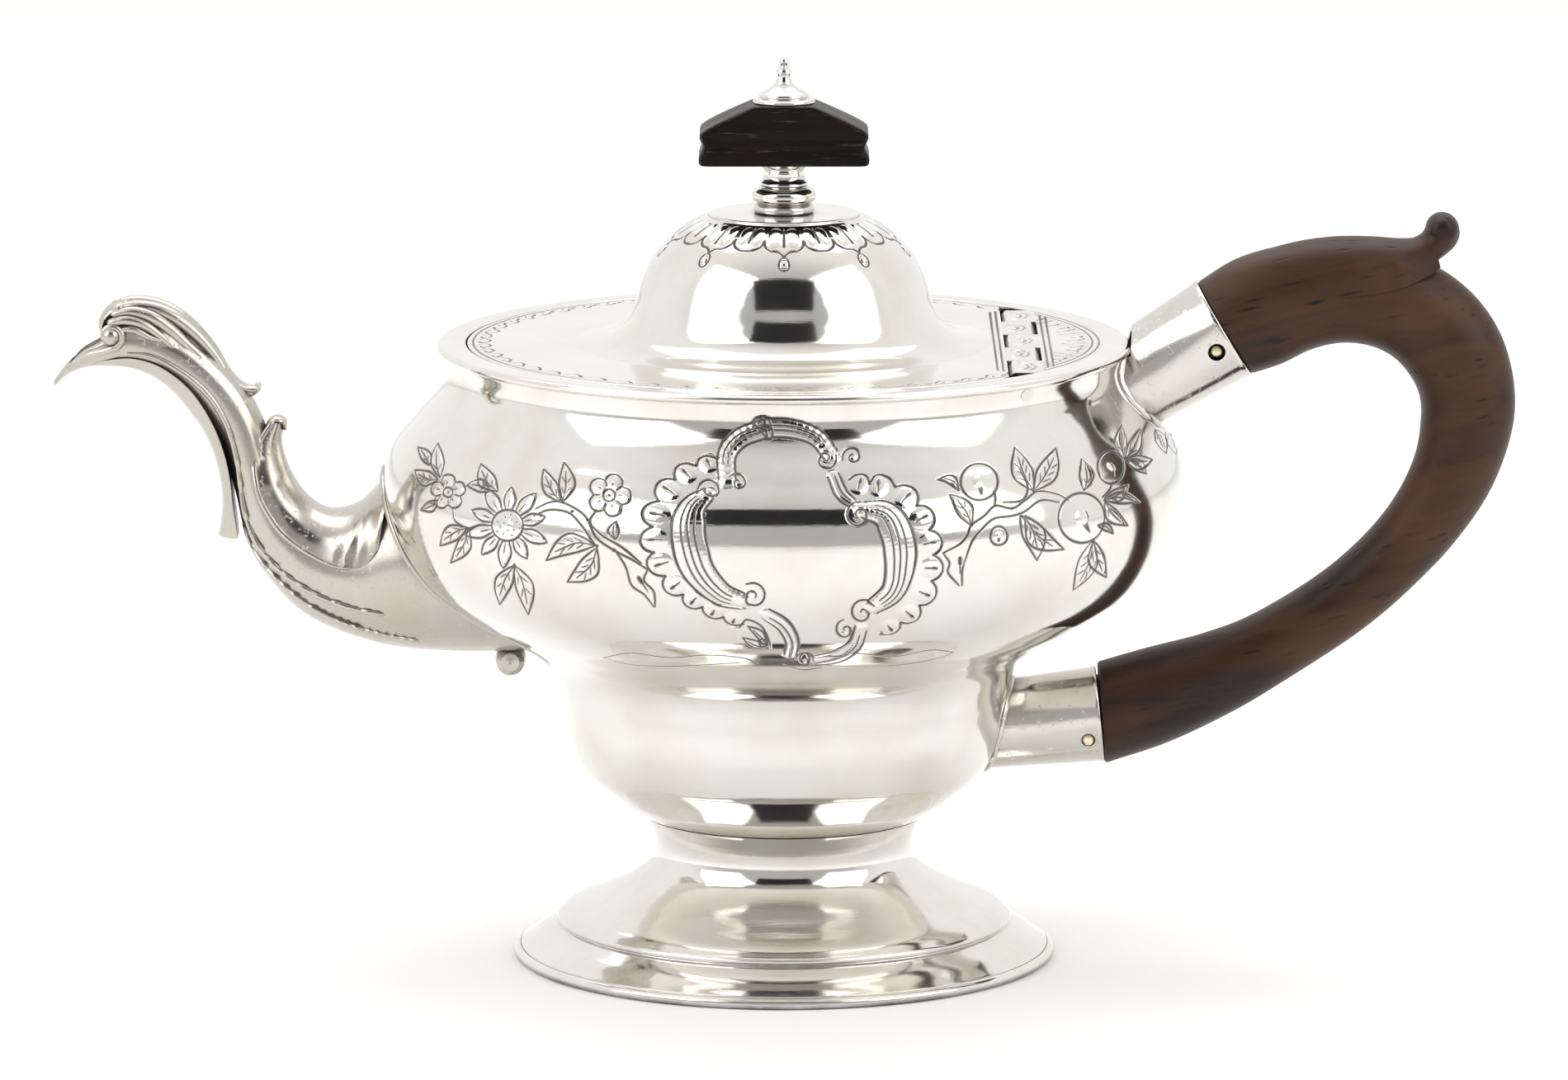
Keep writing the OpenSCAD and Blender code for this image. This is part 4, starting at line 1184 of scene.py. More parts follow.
def strand(path, radius, sides=14, flat=1.0):
    """A round cord along a path, with rounded ends; radius may be a list along it."""
    p = np.asarray(path, float)
    n = len(p)
    r = np.interp(np.linspace(0, 1, n), np.linspace(0, 1, len(np.atleast_1d(radius))),
                  np.atleast_1d(radius))
    t = tangents(p)
    side = np.array([0.0, 1.0, 0.0])
    turn = turn_angles(sides)
    rings = []
    for i in range(n):
        u = side - t[i] * np.dot(side, t[i])
        u /= np.linalg.norm(u)
        v = np.cross(t[i], u)
        rings.append(p[i] + r[i] * (np.outer(np.cos(turn) * flat, u) + np.outer(np.sin(turn), v)))
    caps = []
    for end, sign in ((0, -1), (n - 1, 1)):
        cap = []
        for a in (30, 60, 82):
            k, h = math.cos(math.radians(a)), math.sin(math.radians(a))
            cap.append(p[end] + sign * t[end] * r[end] * h + (rings[end] - p[end]) * k)
        caps.append(cap if sign > 0 else cap[::-1])
    return skin(caps[0] + rings + caps[1])


def solid(name, shape):
    """A loose object in millimetres, for combining; its faces are made to point outward."""
    mesh = bpy.data.meshes.new(name)
    mesh.from_pydata(np.asarray(shape[0]).tolist(), [], shape[1])
    edit(mesh, face_outward)
    edit(mesh, lambda bm: bmesh.ops.triangulate(bm, faces=bm.faces[:]))
    obj = bpy.data.objects.new(name, mesh)
    bpy.context.scene.collection.objects.link(obj)
    return obj


def combine(base, shapes, operation):
    """The base object's mesh joined with, or cut by, each shape in turn."""
    for shape in shapes:
        tool = solid("tool", shape)
        change = base.modifiers.new("change", "BOOLEAN")
        change.operation, change.solver, change.object = operation, "MANIFOLD", tool
        bpy.context.view_layer.update()
        done = bpy.data.meshes.new_from_object(base.evaluated_get(bpy.context.evaluated_depsgraph_get()))
        if not len(done.polygons):
            raise RuntimeError("empty " + operation)
        base.modifiers.clear()
        old, base.data = base.data, done
        bpy.data.meshes.remove(old)
        old = tool.data
        bpy.data.objects.remove(tool)
        bpy.data.meshes.remove(old)


def finish_solid(name, base, material, body, replaced, sharp_deg=40):
    """Turns the loose millimetre object into a finished piece in metres."""
    mesh = base.data
    bpy.data.objects.remove(base)
    mesh.transform(Matrix.Scale(MM, 4))
    mesh.materials.clear()
    mesh.shade_smooth()
    mesh.set_sharp_from_angle(angle=math.radians(sharp_deg))
    add_object(name, mesh, material, body, replaced)


def bowl_filler(grow, low, high):
    """The bowl as a filled solid, grown outward, for trimming what is soldered to it."""
    p = offset(bowl_outside, -grow)
    p = p[(p[:, 1] > low) & (p[:, 1] < high)][::6]
    return turned([(0, p[0][1])] + points(p) + [(0, p[-1][1])], 256)


# ---------------------------------------------------------------- the spout
# Back edge (x, z), breast edge (x, z), half width and how far the section is open at the top.
SPOUT_STATIONS = [
    ((-72.0, 97.0), (-46.0, 61.4), 18.0, 0), ((-80.5, 94.0), (-64.0, 61.2), 16.4, 0),
    ((-85.6, 90.0), (-79.5, 62.6), 13.4, 0), ((-91.0, 89.3), (-94.0, 68.0), 10.8, 0),
    ((-96.4, 92.6), (-102.6, 76.2), 8.8, 0), ((-100.0, 98.0), (-106.9, 84.8), 7.3, 0),
    ((-101.9, 103.6), (-108.8, 93.0), 6.3, 0), ((-103.6, 109.0), (-111.2, 101.4), 5.7, 0),
    ((-106.7, 114.4), (-115.4, 108.8), 5.4, 0), ((-111.4, 119.6), (-120.4, 114.2), 5.3, 0),
    ((-117.4, 124.2), (-125.9, 117.4), 5.2, 0), ((-124.4, 127.2), (-130.2, 118.8), 5.1, 0),
    ((-130.4, 127.8), (-134.4, 118.8), 4.9, 0.1), ((-134.2, 127.2), (-138.2, 118.2), 4.7, 0.75),
    ((-136.9, 126.0), (-141.0, 117.2), 4.3, 1), ((-139.4, 122.6), (-143.0, 115.8), 3.5, 1),
    ((-141.8, 119.4), (-144.0, 114.8), 2.4, 1), ((-143.6, 117.2), (-144.6, 114.2), 1.2, 1),
]
SPOUT_WALL = 1.2


class SpoutForm:
    """The spout's own tube, as oval sections along its length."""

    def __init__(self):
        back = spline([s[0] for s in SPOUT_STATIONS])
        front = spline([s[1] for s in SPOUT_STATIONS])
        more = spline([(s[2], s[3]) for s in SPOUT_STATIONS])
        self.mid, self.half = (back + front) / 2, (back - front) / 2
        self.width, self.open = more[:, 0], np.clip(more[:, 1], 0, 1)
        self.size = np.linalg.norm(self.half, axis=1)
        self.u = self.half / self.size[:, None]

    def ring(self, i, inset=0.0, sides=56, lift=0.0):
        """Section i, inset for the bore; lift raises the bore through the top where the beak is open."""
        turn = turn_angles(sides)
        c, s = np.cos(turn), np.sin(turn)
        flat = np.where(c > 0, c * (1 - self.open[i] + self.open[i] * lift), c)
        along = flat * (self.size[i] - inset)
        p = self.mid[i] + along[:, None] * self.u[i]
        return np.column_stack([p[:, 0], (self.width[i] - inset * 0.8) * s, p[:, 1]])

    def side(self, x, z, lift=0.0):
        """The distance from the middle plane of the surface seen at (x, z) from the side."""
        d = np.array([x, z]) - self.mid
        across = np.abs(d[:, 0] * -self.u[:, 1] + d[:, 1] * self.u[:, 0])
        near = across + np.where(np.abs((d * self.u).sum(axis=1)) > 1.15 * self.size, 50, 0)
        i = int(np.argmin(near))
        h = min(abs(float(np.dot(d[i], self.u[i]))) / self.size[i], 0.995)
        return self.width[i] * math.sqrt(1 - h * h) + lift

    def on_side(self, knots, sign, lift):
        """A path laid on one side of the spout, lift above its surface."""
        p = resample(spline(knots, 10), step=0.9)
        return np.array([(x, sign * self.side(x, z, lift), z) for x, z in p])


def half_shell(base, crest, width, sides=22, power=0.9):
    """A raised leaf: each section springs from both ends of its base line and is domed up to its crest."""
    rings = []
    turn = np.linspace(0, math.pi, sides)
    for b, c, w in zip(base, crest, width):
        p = b + (np.sin(turn) ** power)[:, None] * (c - b)
        rings.append(np.column_stack([p[:, 0], -w * np.cos(turn), p[:, 1]]))
    return skin(rings)


def breast_leaf():
    """The long leaf down the bird's breast, from under the beak to its free tip."""
    outer = match([(-137.0, 118.55), (-134.4, 118.55), (-129.7, 118.2), (-125.6, 116.8), (-121.5, 113.9),
                   (-118.0, 109.7), (-115.1, 105.6), (-113.0, 100.8), (-111.9, 96.0), (-111.5, 91.9),
                   (-111.8, 87.7),
                   (-112.3, 84.6)], 60)
    inner = match([(-137.0, 119.2), (-134.4, 120.0), (-129.0, 120.6), (-123.6, 119.2), (-118.7, 115.8),
                   (-115.2, 111.6), (-112.3, 106.2), (-110.5, 100.8), (-109.6, 96.0), (-109.2, 91.3),
                   (-108.7, 87.6),
                   (-108.4, 84.3)], 60)
    width = np.interp(np.linspace(0, 1, 60), [0, 0.1, 0.3, 0.6, 0.85, 1], [2.6, 4.2, 5.5, 5.9, 5.2, 4.0])
    return half_shell(inner, outer, width, power=0.75)


def calyx():
    """The cup of leaf that the neck grows from, with its base line and half width for the rim."""
    crest = match([(-78.0, 97.0), (-80.6, 94.6), (-84.4, 91.0), (-89.6, 89.7), (-93.4, 91.5), (-96.3, 94.8),
                   (-98.4, 99.0), (-99.4, 102.6), (-99.3, 105.6), (-99.0, 107.2)], 50)
    base = match([(-80.0, 84.0), (-83.0, 80.6), (-88.2, 80.2), (-94.0, 82.6), (-98.7, 85.9), (-101.6, 89.5),
                  (-103.7, 93.6), (-104.7, 98.6), (-103.9, 103.4), (-101.4, 107.4)], 50)
    width = np.array([SPOUT_FORM.side(x, z, 0.75 if x < -86 else 0.2) for x, z in base])
    u = np.linspace(0, 1, 50)
    width = np.where(u > 0.72, np.interp(u, [0.72, 1.0], [width[36], 2.6]), width)
    return half_shell(base, crest, width, power=0.8), base, width


def plume():
    """The crest: strands that spring from the brow and run together into a curled tip."""
    end = [(-108.1, 114.9), (-106.0, 113.9), (-104.4, 113.9)]
    top = [(-132.0, 130.6), (-128.6, 131.2), (-124.5, 130.6), (-120.4, 128.7), (-116.3, 125.4),
           (-112.9, 121.4),
           (-110.5, 117.6)]
    layers = [
        (top, 0.0, 0.0, [1.1, 1.5, 1.7, 1.7, 1.5, 1.3, 1.0, 0.9, 0.8]),
        ([(x + 0.2, z - 0.5) for x, z in top], 2.0, 0.7, [0.9, 1.3, 1.5, 1.5, 1.3, 1.1, 0.9, 0.8, 0.7]),
        ([(-132.2, 129.4), (-128.6, 129.8), (-124.6, 128.6), (-120.9, 126.0), (-117.6, 122.8),
          (-114.6, 119.9),
          (-111.4, 117.0)], 3.7, 1.2, [0.8, 1.2, 1.4, 1.3, 1.1, 1.2, 0.8, 0.6, 0.5]),
        ([(-132.8, 127.9), (-129.6, 128.3), (-126.4, 127.4), (-123.4, 125.3), (-120.6, 122.8),
          (-117.3, 120.5)],
         4.7, 3.2, [0.8, 1.1, 1.1, 0.9, 0.8, 0.5]),
        ([(-131.2, 126.4), (-128.2, 126.5), (-125.4, 125.0), (-123.0, 124.2)], 5.0, 4.6,
         [0.5, 0.8, 0.7, 0.35]),
    ]
    shapes = []
    for number, (knots, y0, y1, radii) in enumerate(layers):
        full = knots + (end if number < 3 else [])
        p = resample(spline(full, 8), step=0.7)
        u = np.linspace(0, 1, len(p))
        y = y0 + (y1 - y0) * u**1.4
        for side in ((1,) if number == 0 else (-1, 1)):
            path = np.column_stack([p[:, 0], side * y, p[:, 1]])
            shapes.append(strand(path, radii, 16, 1.25))
    # The bed the strands lie on, down to the neck.
    crest = match(top + end[:2], 34)
    low = match([(-131.0, 124.0), (-127.0, 124.4), (-123.0, 122.8), (-118.6, 119.6), (-114.6, 116.6),
                 (-111.2, 114.4),
                 (-108.0, 112.6), (-105.6, 112.9)], 34)
    width = np.interp(np.linspace(0, 1, 34), [0, 0.3, 0.7, 1], [4.8, 4.9, 3.2, 1.6])
    shapes.append(half_shell(low, crest - np.array([0.0, 0.5]), width))
    # The curl at the tip, a lip that turns up and out.
    lip = match([(-107.4, 114.0), (-105.8, 113.2), (-104.6, 113.6), (-104.1, 114.7)], 12)
    shapes.append(strand(in_middle(lip), [0.9, 0.8, 0.75, 0.6], 16, 2.0))
    return shapes


def head_details():
    """The scroll at each side of the beak's root, and the lip that runs from it down the beak."""
    shapes = []
    eye = np.array([-132.9, 125.1])
    for side in (-1, 1):
        slant = np.radians(np.linspace(-85, 85, 13))
        shapes.append(skin([circle_at(eye, 1.75 * math.cos(a), side * 5.3 + 1.35 * math.sin(a),
                                      20) for a in slant]))
        u = np.linspace(0, 1, 26)
        a = np.radians(200 - 290 * u)
        r = 1.5 + 1.0 * u
        roll = np.column_stack([eye[0] + r * np.cos(a), np.full(26, side * 5.1), eye[1] + r * np.sin(a)])
        lip = resample(spline([(roll[-1][0], roll[-1][2]), (-134.6, 122.0), (-137.6, 121.2),
                               (-140.6, 119.4),
                               (-142.8, 117.2), (-144.3, 115.2)], 10), step=0.5)
        half_beak = [0.35, 1.1, 2.3, 3.35, 4.2, 5.0]
        y = side * np.interp(lip[:, 0], [-144.7, -143.6, -141.8, -139.4, -137, -133], half_beak)
        path = np.vstack([roll, np.column_stack([lip[:, 0], y, lip[:, 1]])[1:]])
        shapes.append(strand(path, [0.45, 0.6, 0.75, 0.8, 0.8, 0.7, 0.6, 0.55, 0.5, 0.42, 0.35], 14))
    brow = resample(spline([(-134.9, 125.6), (-134.5, 127.6), (-133.2, 129.5), (-131.0, 130.7)], 8),
                    step=0.6)
    shapes.append(strand(in_middle(brow), [0.8, 1.1, 1.2, 1.1], 20, 3.6))
    return shapes


def flow_lines():
    """Raised lines on each side: the neck's edge by the breast leaf, and the fold that sweeps to the root."""
    shapes = []
    neck = [(-129.4, 121.6), (-125.0, 121.2), (-120.9, 119.2), (-116.3, 116.0), (-112.9, 112.4),
            (-110.3, 107.7),
            (-108.8, 103.0), (-107.9, 98.4), (-107.3, 93.0), (-106.4, 88.6), (-104.4, 84.0), (-101.0, 79.9),
            (-96.8, 76.6), (-91.4, 73.7), (-85.4, 71.8), (-79.4, 70.8)]
    fold = [(-107.2, 87.0), (-105.4, 82.6), (-101.6, 77.9), (-97.4, 74.1), (-92.6, 70.8), (-86.4, 68.0),
            (-79.8, 66.2),
            (-72.6, 64.9)]
    for side in (-1, 1):
        radii = [0.3, 0.6] + [0.65] * 6 + [0.6, 0.45]
        shapes.append(strand(SPOUT_FORM.on_side(neck, side, 0.08), radii, 16))
        shapes.append(strand(SPOUT_FORM.on_side(fold, side, 0.12), [0.3, 0.6, 0.7, 0.7, 0.7, 0.6, 0.45],
                             16))
    return shapes


def make_spout():
    """The hollow casting: the tube with its leaves, plume and head joined on, then bored and fitted."""
    form = SPOUT_FORM
    count = len(form.mid)
    base = solid("spout", skin([form.ring(i) for i in range(count)]))
    leaf, rim_line, rim_width = calyx()
    shapes = [breast_leaf(), leaf] + plume() + head_details() + flow_lines()
    for side in (-1, 1):
        rim = np.column_stack([rim_line[:, 0], side * (rim_width - 0.25), rim_line[:, 1]])[8:]
        shapes.append(strand(rim, [0.3, 0.6, 0.7, 0.7, 0.65, 0.6], 14))
    roll = spline([(-102.2, 106.4), (-101.4, 107.5), (-100.3, 107.9), (-99.2, 107.3), (-98.9, 105.9)])
    shapes.append(strand(in_middle(resample(roll, step=0.5)), [0.6, 0.8, 0.8, 0.7, 0.4], 20, 3.4))
    combine(base, shapes, "UNION")
    inner = [form.ring(i, SPOUT_WALL, 40, 1.6) for i in range(0, count - 2)]
    start = inner[0] + np.array([14.0, 0, 0])
    combine(base, [skin([start] + inner), bowl_filler(0.06, 29.0, 122.0)], "DIFFERENCE")
    finish_solid("spout_cast", base, cast, POT, ["spout"], 48)


SPOUT_FORM = SpoutForm()


def make_collar():
    """The reeded band round the joint, three beads wide, laid on the bowl."""
    mid_z, half_z, half_y, half_w, steps = 78.4, 19.0, 19.4, 1.1, 160
    across = np.linspace(-half_w, half_w, 23)
    beads = np.abs(np.sin((across + half_w) / (2 * half_w) * math.pi * 3)) ** 0.7
    lift = 0.18 + 0.46 * beads * (1 - 0.3 * np.abs(across))
    section = list(zip(across, lift)) + [(half_w, 0.0), (-half_w, 0.0)]
    rings = []
    for a in turn_angles(steps):
        ring = []
        for k, h in section:
            y = (half_y + k) * math.cos(a)
            z = mid_z + (half_z + k) * math.sin(a)
            slope = float(bowl_radius(z + 0.5) - bowl_radius(z - 0.5))
            r = float(bowl_radius(z)) + (h + 0.03) * math.sqrt(1 + slope * slope)
            ring.append((-math.sqrt(r * r - y * y), y, z))
        rings.append(ring)
    mesh = mesh_from("collar", np.vstack(rings), torus_faces(steps, len(section)), 50)
    edit(mesh, face_outward)
    add_object("collar_beads", mesh, cast, POT, ["spout_collar"])


# ---------------------------------------------------------------- the handle
# Outer edge (x, z), inner edge (x, z) and half width, from the upper socket round to the lower one.
HANDLE_STATIONS = [
    ((81.8, 135.1), (92.6, 117.1), 10.3), ((89.4, 139.8), (98.4, 119.0), 10.3),
    ((98.6, 142.4), (104.4, 121.9), 10.0),
    ((108.6, 142.6), (110.4, 123.2), 9.6), ((119.6, 141.0), (116.2, 122.5), 9.3),
    ((129.2, 138.2), (120.8, 120.1), 9.1),
    ((137.8, 131.2), (124.1, 116.3), 8.9), ((143.2, 121.4), (125.9, 112.4), 8.7),
    ((144.8, 109.0), (126.2, 107.6), 8.5),
    ((141.2, 95.8), (125.1, 100.5), 8.2), ((134.6, 84.9), (121.5, 92.5), 7.8),
    ((125.8, 75.0), (115.4, 84.5), 7.6),
    ((114.8, 65.3), (106.4, 76.5), 7.6), ((99.8, 55.2), (93.6, 68.5), 7.8),
    ((89.1, 48.7), (83.6, 64.5), 8.4),
    ((76.4, 42.6), (72.0, 61.4), 9.6), ((64.0, 38.4), (62.4, 58.6), 10.1),
]
UPPER_MOUTH, UPPER_TILT, UPPER_R, UPPER_PIN = (87.2, 126.1), 31.0, 10.8, (85.2, 122.8)
LOWER_MOUTH, LOWER_TILT, LOWER_R, LOWER_PIN = (63.0, 48.3), 6.0, 9.5, (60.4, 44.6)
SOCKET_WALL, SOCKET_PIN_R = 0.9, 1.3


def tilted_ring(mouth, tilt, along, radius, sides=96):
    """A circle round the socket's axis, at a distance along it from the mouth."""
    a = math.radians(tilt)
    axis = np.array([math.cos(a), 0, math.sin(a)])
    up = np.array([-math.sin(a), 0, math.cos(a)])
    turn = turn_angles(sides)
    at = np.array([mouth[0], 0, mouth[1]]) + along * axis
    return at + radius * (np.outer(np.cos(turn), up) + np.outer(np.sin(turn), [0, 1.0, 0]))


def peg(at, radius, length):
    return skin([circle_at(at, radius, y) for y in (-length / 2, length / 2)])


def make_handle():
    """The wooden loop with its tenons, and the leaf along its top that ends in a rolled thumb rest."""
    per, sides = 12, 72
    outer = spline([s[0] for s in HANDLE_STATIONS], per)
    inner = spline([s[1] for s in HANDLE_STATIONS], per)
    width = spline([(s[2], 0) for s in HANDLE_STATIONS], per)[:, 0]
    c, s = np.cos(turn_angles(sides)), np.sin(turn_angles(sides))
    rings = []
    for o, i, w in zip(outer, inner, width):
        mid, half = (o + i) / 2, (o - i) / 2
        p = mid + c[:, None] * half
        rings.append(np.column_stack([p[:, 0], w * np.sign(s) * np.abs(s) ** 0.94, p[:, 1]]))
    # Eased ends where the wood meets the sockets.
    for end, inward in ((0, 1), (-1, -1)):
        centre = rings[end].mean(axis=0)
        lip = centre + (rings[end] - centre) * 0.965
        toward = rings[end + inward].mean(axis=0) - centre
        step = toward / np.linalg.norm(toward) * 0.35
        soft = rings[end] + step
        rings[end] = lip
        rings.insert(1 if end == 0 else len(rings) - 1, soft)
    base = solid("handle", skin(rings))
    crest = match([(96.0, 141.9), (102.0, 143.4), (109.0, 144.3), (116.0, 144.3), (122.0, 143.9),
                   (125.6, 144.3),
                   (127.6, 145.6)], 44)
    low = match([(97.0, 134.4), (103.0, 133.4), (109.6, 133.6), (116.0, 134.2), (121.6, 135.3),
                 (126.2, 137.0),
                 (129.4, 139.0)], 44)
    u = np.linspace(0, 1, 44)
    leaf_width = np.interp(u, [0, 0.25, 0.5, 0.75, 1.0], [8.2, 9.6, 9.7, 8.6, 5.6])
    leaf = half_shell(low, crest, leaf_width, 40, 0.72)
    # The leaf's tip stands up and rolls over into a scroll.
    back = match([(124.0, 137.6), (127.4, 138.6), (130.2, 140.4), (132.6, 142.6), (133.5, 145.2),
                  (132.6, 147.9)], 26)
    face = match([(121.6, 143.4), (124.2, 144.0), (126.0, 145.0), (126.8, 146.4), (127.8, 148.0),
                  (129.6, 149.1)], 26)
    stem = []
    for k, (o, i) in enumerate(zip(back, face)):
        mid, half = (o + i) / 2, (o - i) / 2
        w = np.interp(k / 25, [0, 0.4, 0.75, 1.0], [6.6, 5.2, 4.7, 3.4])
        p = mid + c[::2, None] * half
        stem.append(np.column_stack([p[:, 0], w * s[::2], p[:, 1]]))
    slant = np.radians(np.linspace(-86, 86, 17))
    roll = [circle_at((130.0, 145.8), 3.35 * math.cos(a) ** 0.6, 5.0 * math.sin(a),
                      sides // 2) for a in slant]
    tenons = [skin([tilted_ring(UPPER_MOUTH, UPPER_TILT, d, UPPER_R - 2.1) for d in (-15, 3)]),
              skin([tilted_ring(LOWER_MOUTH, LOWER_TILT, d, LOWER_R - 1.7) for d in (-13, 3)])]
    combine(base, [leaf, skin(stem), skin(roll)] + tenons, "UNION")
    combine(base, [peg(pin, SOCKET_PIN_R + 0.05, 40) for pin in (UPPER_PIN, LOWER_PIN)], "DIFFERENCE")
    finish_solid("handle_loop", base, handle_wood, POT, ["handle"], 55)


def cone_on_bowl(mouth, tilt, r_mouth, r_root, depth, count=120):
    """Where a socket's outside meets the bowl, as a closed path."""
    a = math.radians(tilt)
    axis = np.array([math.cos(a), 0, math.sin(a)])
    up = np.array([-math.sin(a), 0, math.cos(a)])
    at = np.array([mouth[0], 0, mouth[1]])
    path = []
    for t in turn_angles(count):
        d = np.linspace(0, -depth, 240)
        r = r_mouth + (r_root - r_mouth) * (-d / depth)
        p = at + d[:, None] * axis + r[:, None] * (math.cos(t) * up + math.sin(t) * np.array([0, 1.0, 0]))
        inside = np.hypot(p[:, 0], p[:, 1]) < bowl_radius(np.clip(p[:, 2], FLOOR_Z, BOWL_TOP))
        inside &= p[:, 2] < BOWL_TOP + 0.5
        path.append(p[int(np.argmax(inside))] if inside.any() else p[-1])
    return np.array(path)


def bead_round(path, radius, sides=12):
    """A closed cord along a closed path."""
    n = len(path)
    t = np.roll(path, -1, 0) - np.roll(path, 1, 0)
    t /= np.linalg.norm(t, axis=1)[:, None]
    centre = path.mean(axis=0)
    verts = []
    for i in range(n):
        u = path[i] - centre
        u -= t[i] * np.dot(u, t[i])
        u /= np.linalg.norm(u)
        v = np.cross(t[i], u)
        for k in range(sides):
            a = 2 * math.pi * k / sides
            verts.append(path[i] + radius[i] * (math.cos(a) * u + math.sin(a) * v))
    return np.array(verts), torus_faces(n, sides)


def make_sockets():
    """Tubes that taper to the bowl, each on a rough fillet of solder."""
    for name, mouth, tilt, r_mouth, r_root, depth, pin, hole, bead in (
            ("upper_socket", UPPER_MOUTH, UPPER_TILT, UPPER_R, UPPER_R - 1.6, 28, UPPER_PIN, 1.75, 1.1),
            ("lower_socket", LOWER_MOUTH, LOWER_TILT, LOWER_R, LOWER_R - 1.0, 26, LOWER_PIN, 1.4, 0.8)):
        out = [(-depth, r_root), (-depth / 2, (r_root + r_mouth) / 2), (-1.2, r_mouth - 0.03),
               (-0.9, r_mouth + 0.12), (-0.25, r_mouth + 0.12), (-0.06, r_mouth - 0.03), (0, r_mouth - 0.2)]
        base = solid(name, skin([tilted_ring(mouth, tilt, d, r) for d, r in out]))
        path = cone_on_bowl(mouth, tilt, r_mouth, r_root, depth)
        for _ in range(6):
            path = (np.roll(path, 1, 0) + 2 * path + np.roll(path, -1, 0)) / 4
        turn = turn_angles(len(path))
        radius = bead * (1 + 0.10 * np.sin(5 * turn + 1) + 0.06 * np.sin(11 * turn))
        combine(base, [bead_round(path, radius)], "UNION")
        bore = skin([tilted_ring(mouth, tilt, -depth - 3, r_root - SOCKET_WALL - 0.15),
                     tilted_ring(mouth, tilt, 3, r_mouth - SOCKET_WALL + 0.1)])
        clear = RIM_OUTER_R + 0.06
        top = turned([(0, 121.5), (clear, 121.5), (clear, 140), (0, 140)], 256)
        combine(base, [bore, bowl_filler(0.03, 29.0, 122.2), top, peg(pin, hole, 40)], "DIFFERENCE")
        finish_solid(name + "_tube", base, socket_silver, POT, [name], 40)


def make_pins():
    """The cross pins through the sockets, filed slightly round at both ends."""
    for name, at, length in (("upper_socket_pin", UPPER_PIN, 18.4), ("lower_socket_pin", LOWER_PIN, 16.8)):
        end = [(length / 2, 0.55), (length / 2 - 0.12, 0.86), (length / 2 - 0.4, 1.0)]
        both = [(-y, k) for y, k in end] + end[::-1]
        verts, faces = skin([circle_at(at, k * SOCKET_PIN_R, y) for y, k in both])
        add_object(name + "_head", mesh_from(name, verts, faces, 45), gilt, POT, [name])


PLUG_R, PLUG_FROM, PLUG_TO = 1.2, 44.95, 50.0


def make_plugs():
    """The flush plugs of the hinge pin's drilling, filed to the neck and just proud of it."""
    pair = []
    for side in (-1, 1):
        pair.append(skin([circle_at((HINGE_X, HINGE_Z), PLUG_R, side * y, 40) for y in (PLUG_FROM,
                                                                                        PLUG_TO)]))
    base = solid("plugs", pair[0])
    combine(base, [pair[1]], "UNION")
    combine(base, [bowl_filler(0.07, 29.0, 122.25)], "INTERSECT")
    finish_solid("plug_discs", base, hinge_silver, POT, ["hinge_pin_plugs"], 40)


# ---------------------------------------------------------------- foot and knob
FOOT_KNOTS = [
    (28.3, 28.6), (26.6, 25.6), (25.9, 22.0), (27.2, 18.6), (31.2, 15.3), (37.0, 12.3), (42.6, 9.9),
    (45.0, 8.2),
]
FOOT_SKIRT = [(45.4, 6.6), (48.6, 4.9), (51.0, 3.3), (52.6, 2.3)]
SPOOL_Z, BUTTON_Z, CAP_Z = 154.6, 159.2, 171.0


def lathe(name, outline, node, body, segments, ease, sharp_deg=38):
    """A turned piece of polished silver, with its edges eased."""
    verts, faces = turned(rounded(outline, ease), segments)
    mesh = mesh_from(name, verts, faces, sharp_deg)
    edit(mesh, face_outward)
    add_object(name, mesh, polished, body, [node])


def make_foot():
    top, skirt = spline(FOOT_KNOTS, 10), spline(FOOT_SKIRT, 6)
    step = [(45.35, 7.75), (45.3, 7.35), (44.95, 7.05), (45.0, 6.85)]
    outside = points(top) + step + points(skirt) + [(52.6, 0.5)]
    inner = points(offset(top, -WALL)) + [(43.9, 7.0), (44.2, 5.8)]
    inner += points(offset(skirt, -WALL)) + [(51.3, 1.2), (51.3, 0.5)]
    outline = outside + [(r, min(z, FLOOR_Z)) for r, z in reversed(inner)]
    lathe("foot_shell", outline, "foot", POT, 288, 0.05)
    band = [(51.3, 0), (53.3, 0), (53.75, 0.28), (54.0, 0.9), (53.9, 1.5), (53.4, 2.0), (52.65, 2.2),
            (52.65, 0.45),
            (51.3, 0.45)]
    lathe("foot_rim", band, "foot_band", POT, 288, 0.2)


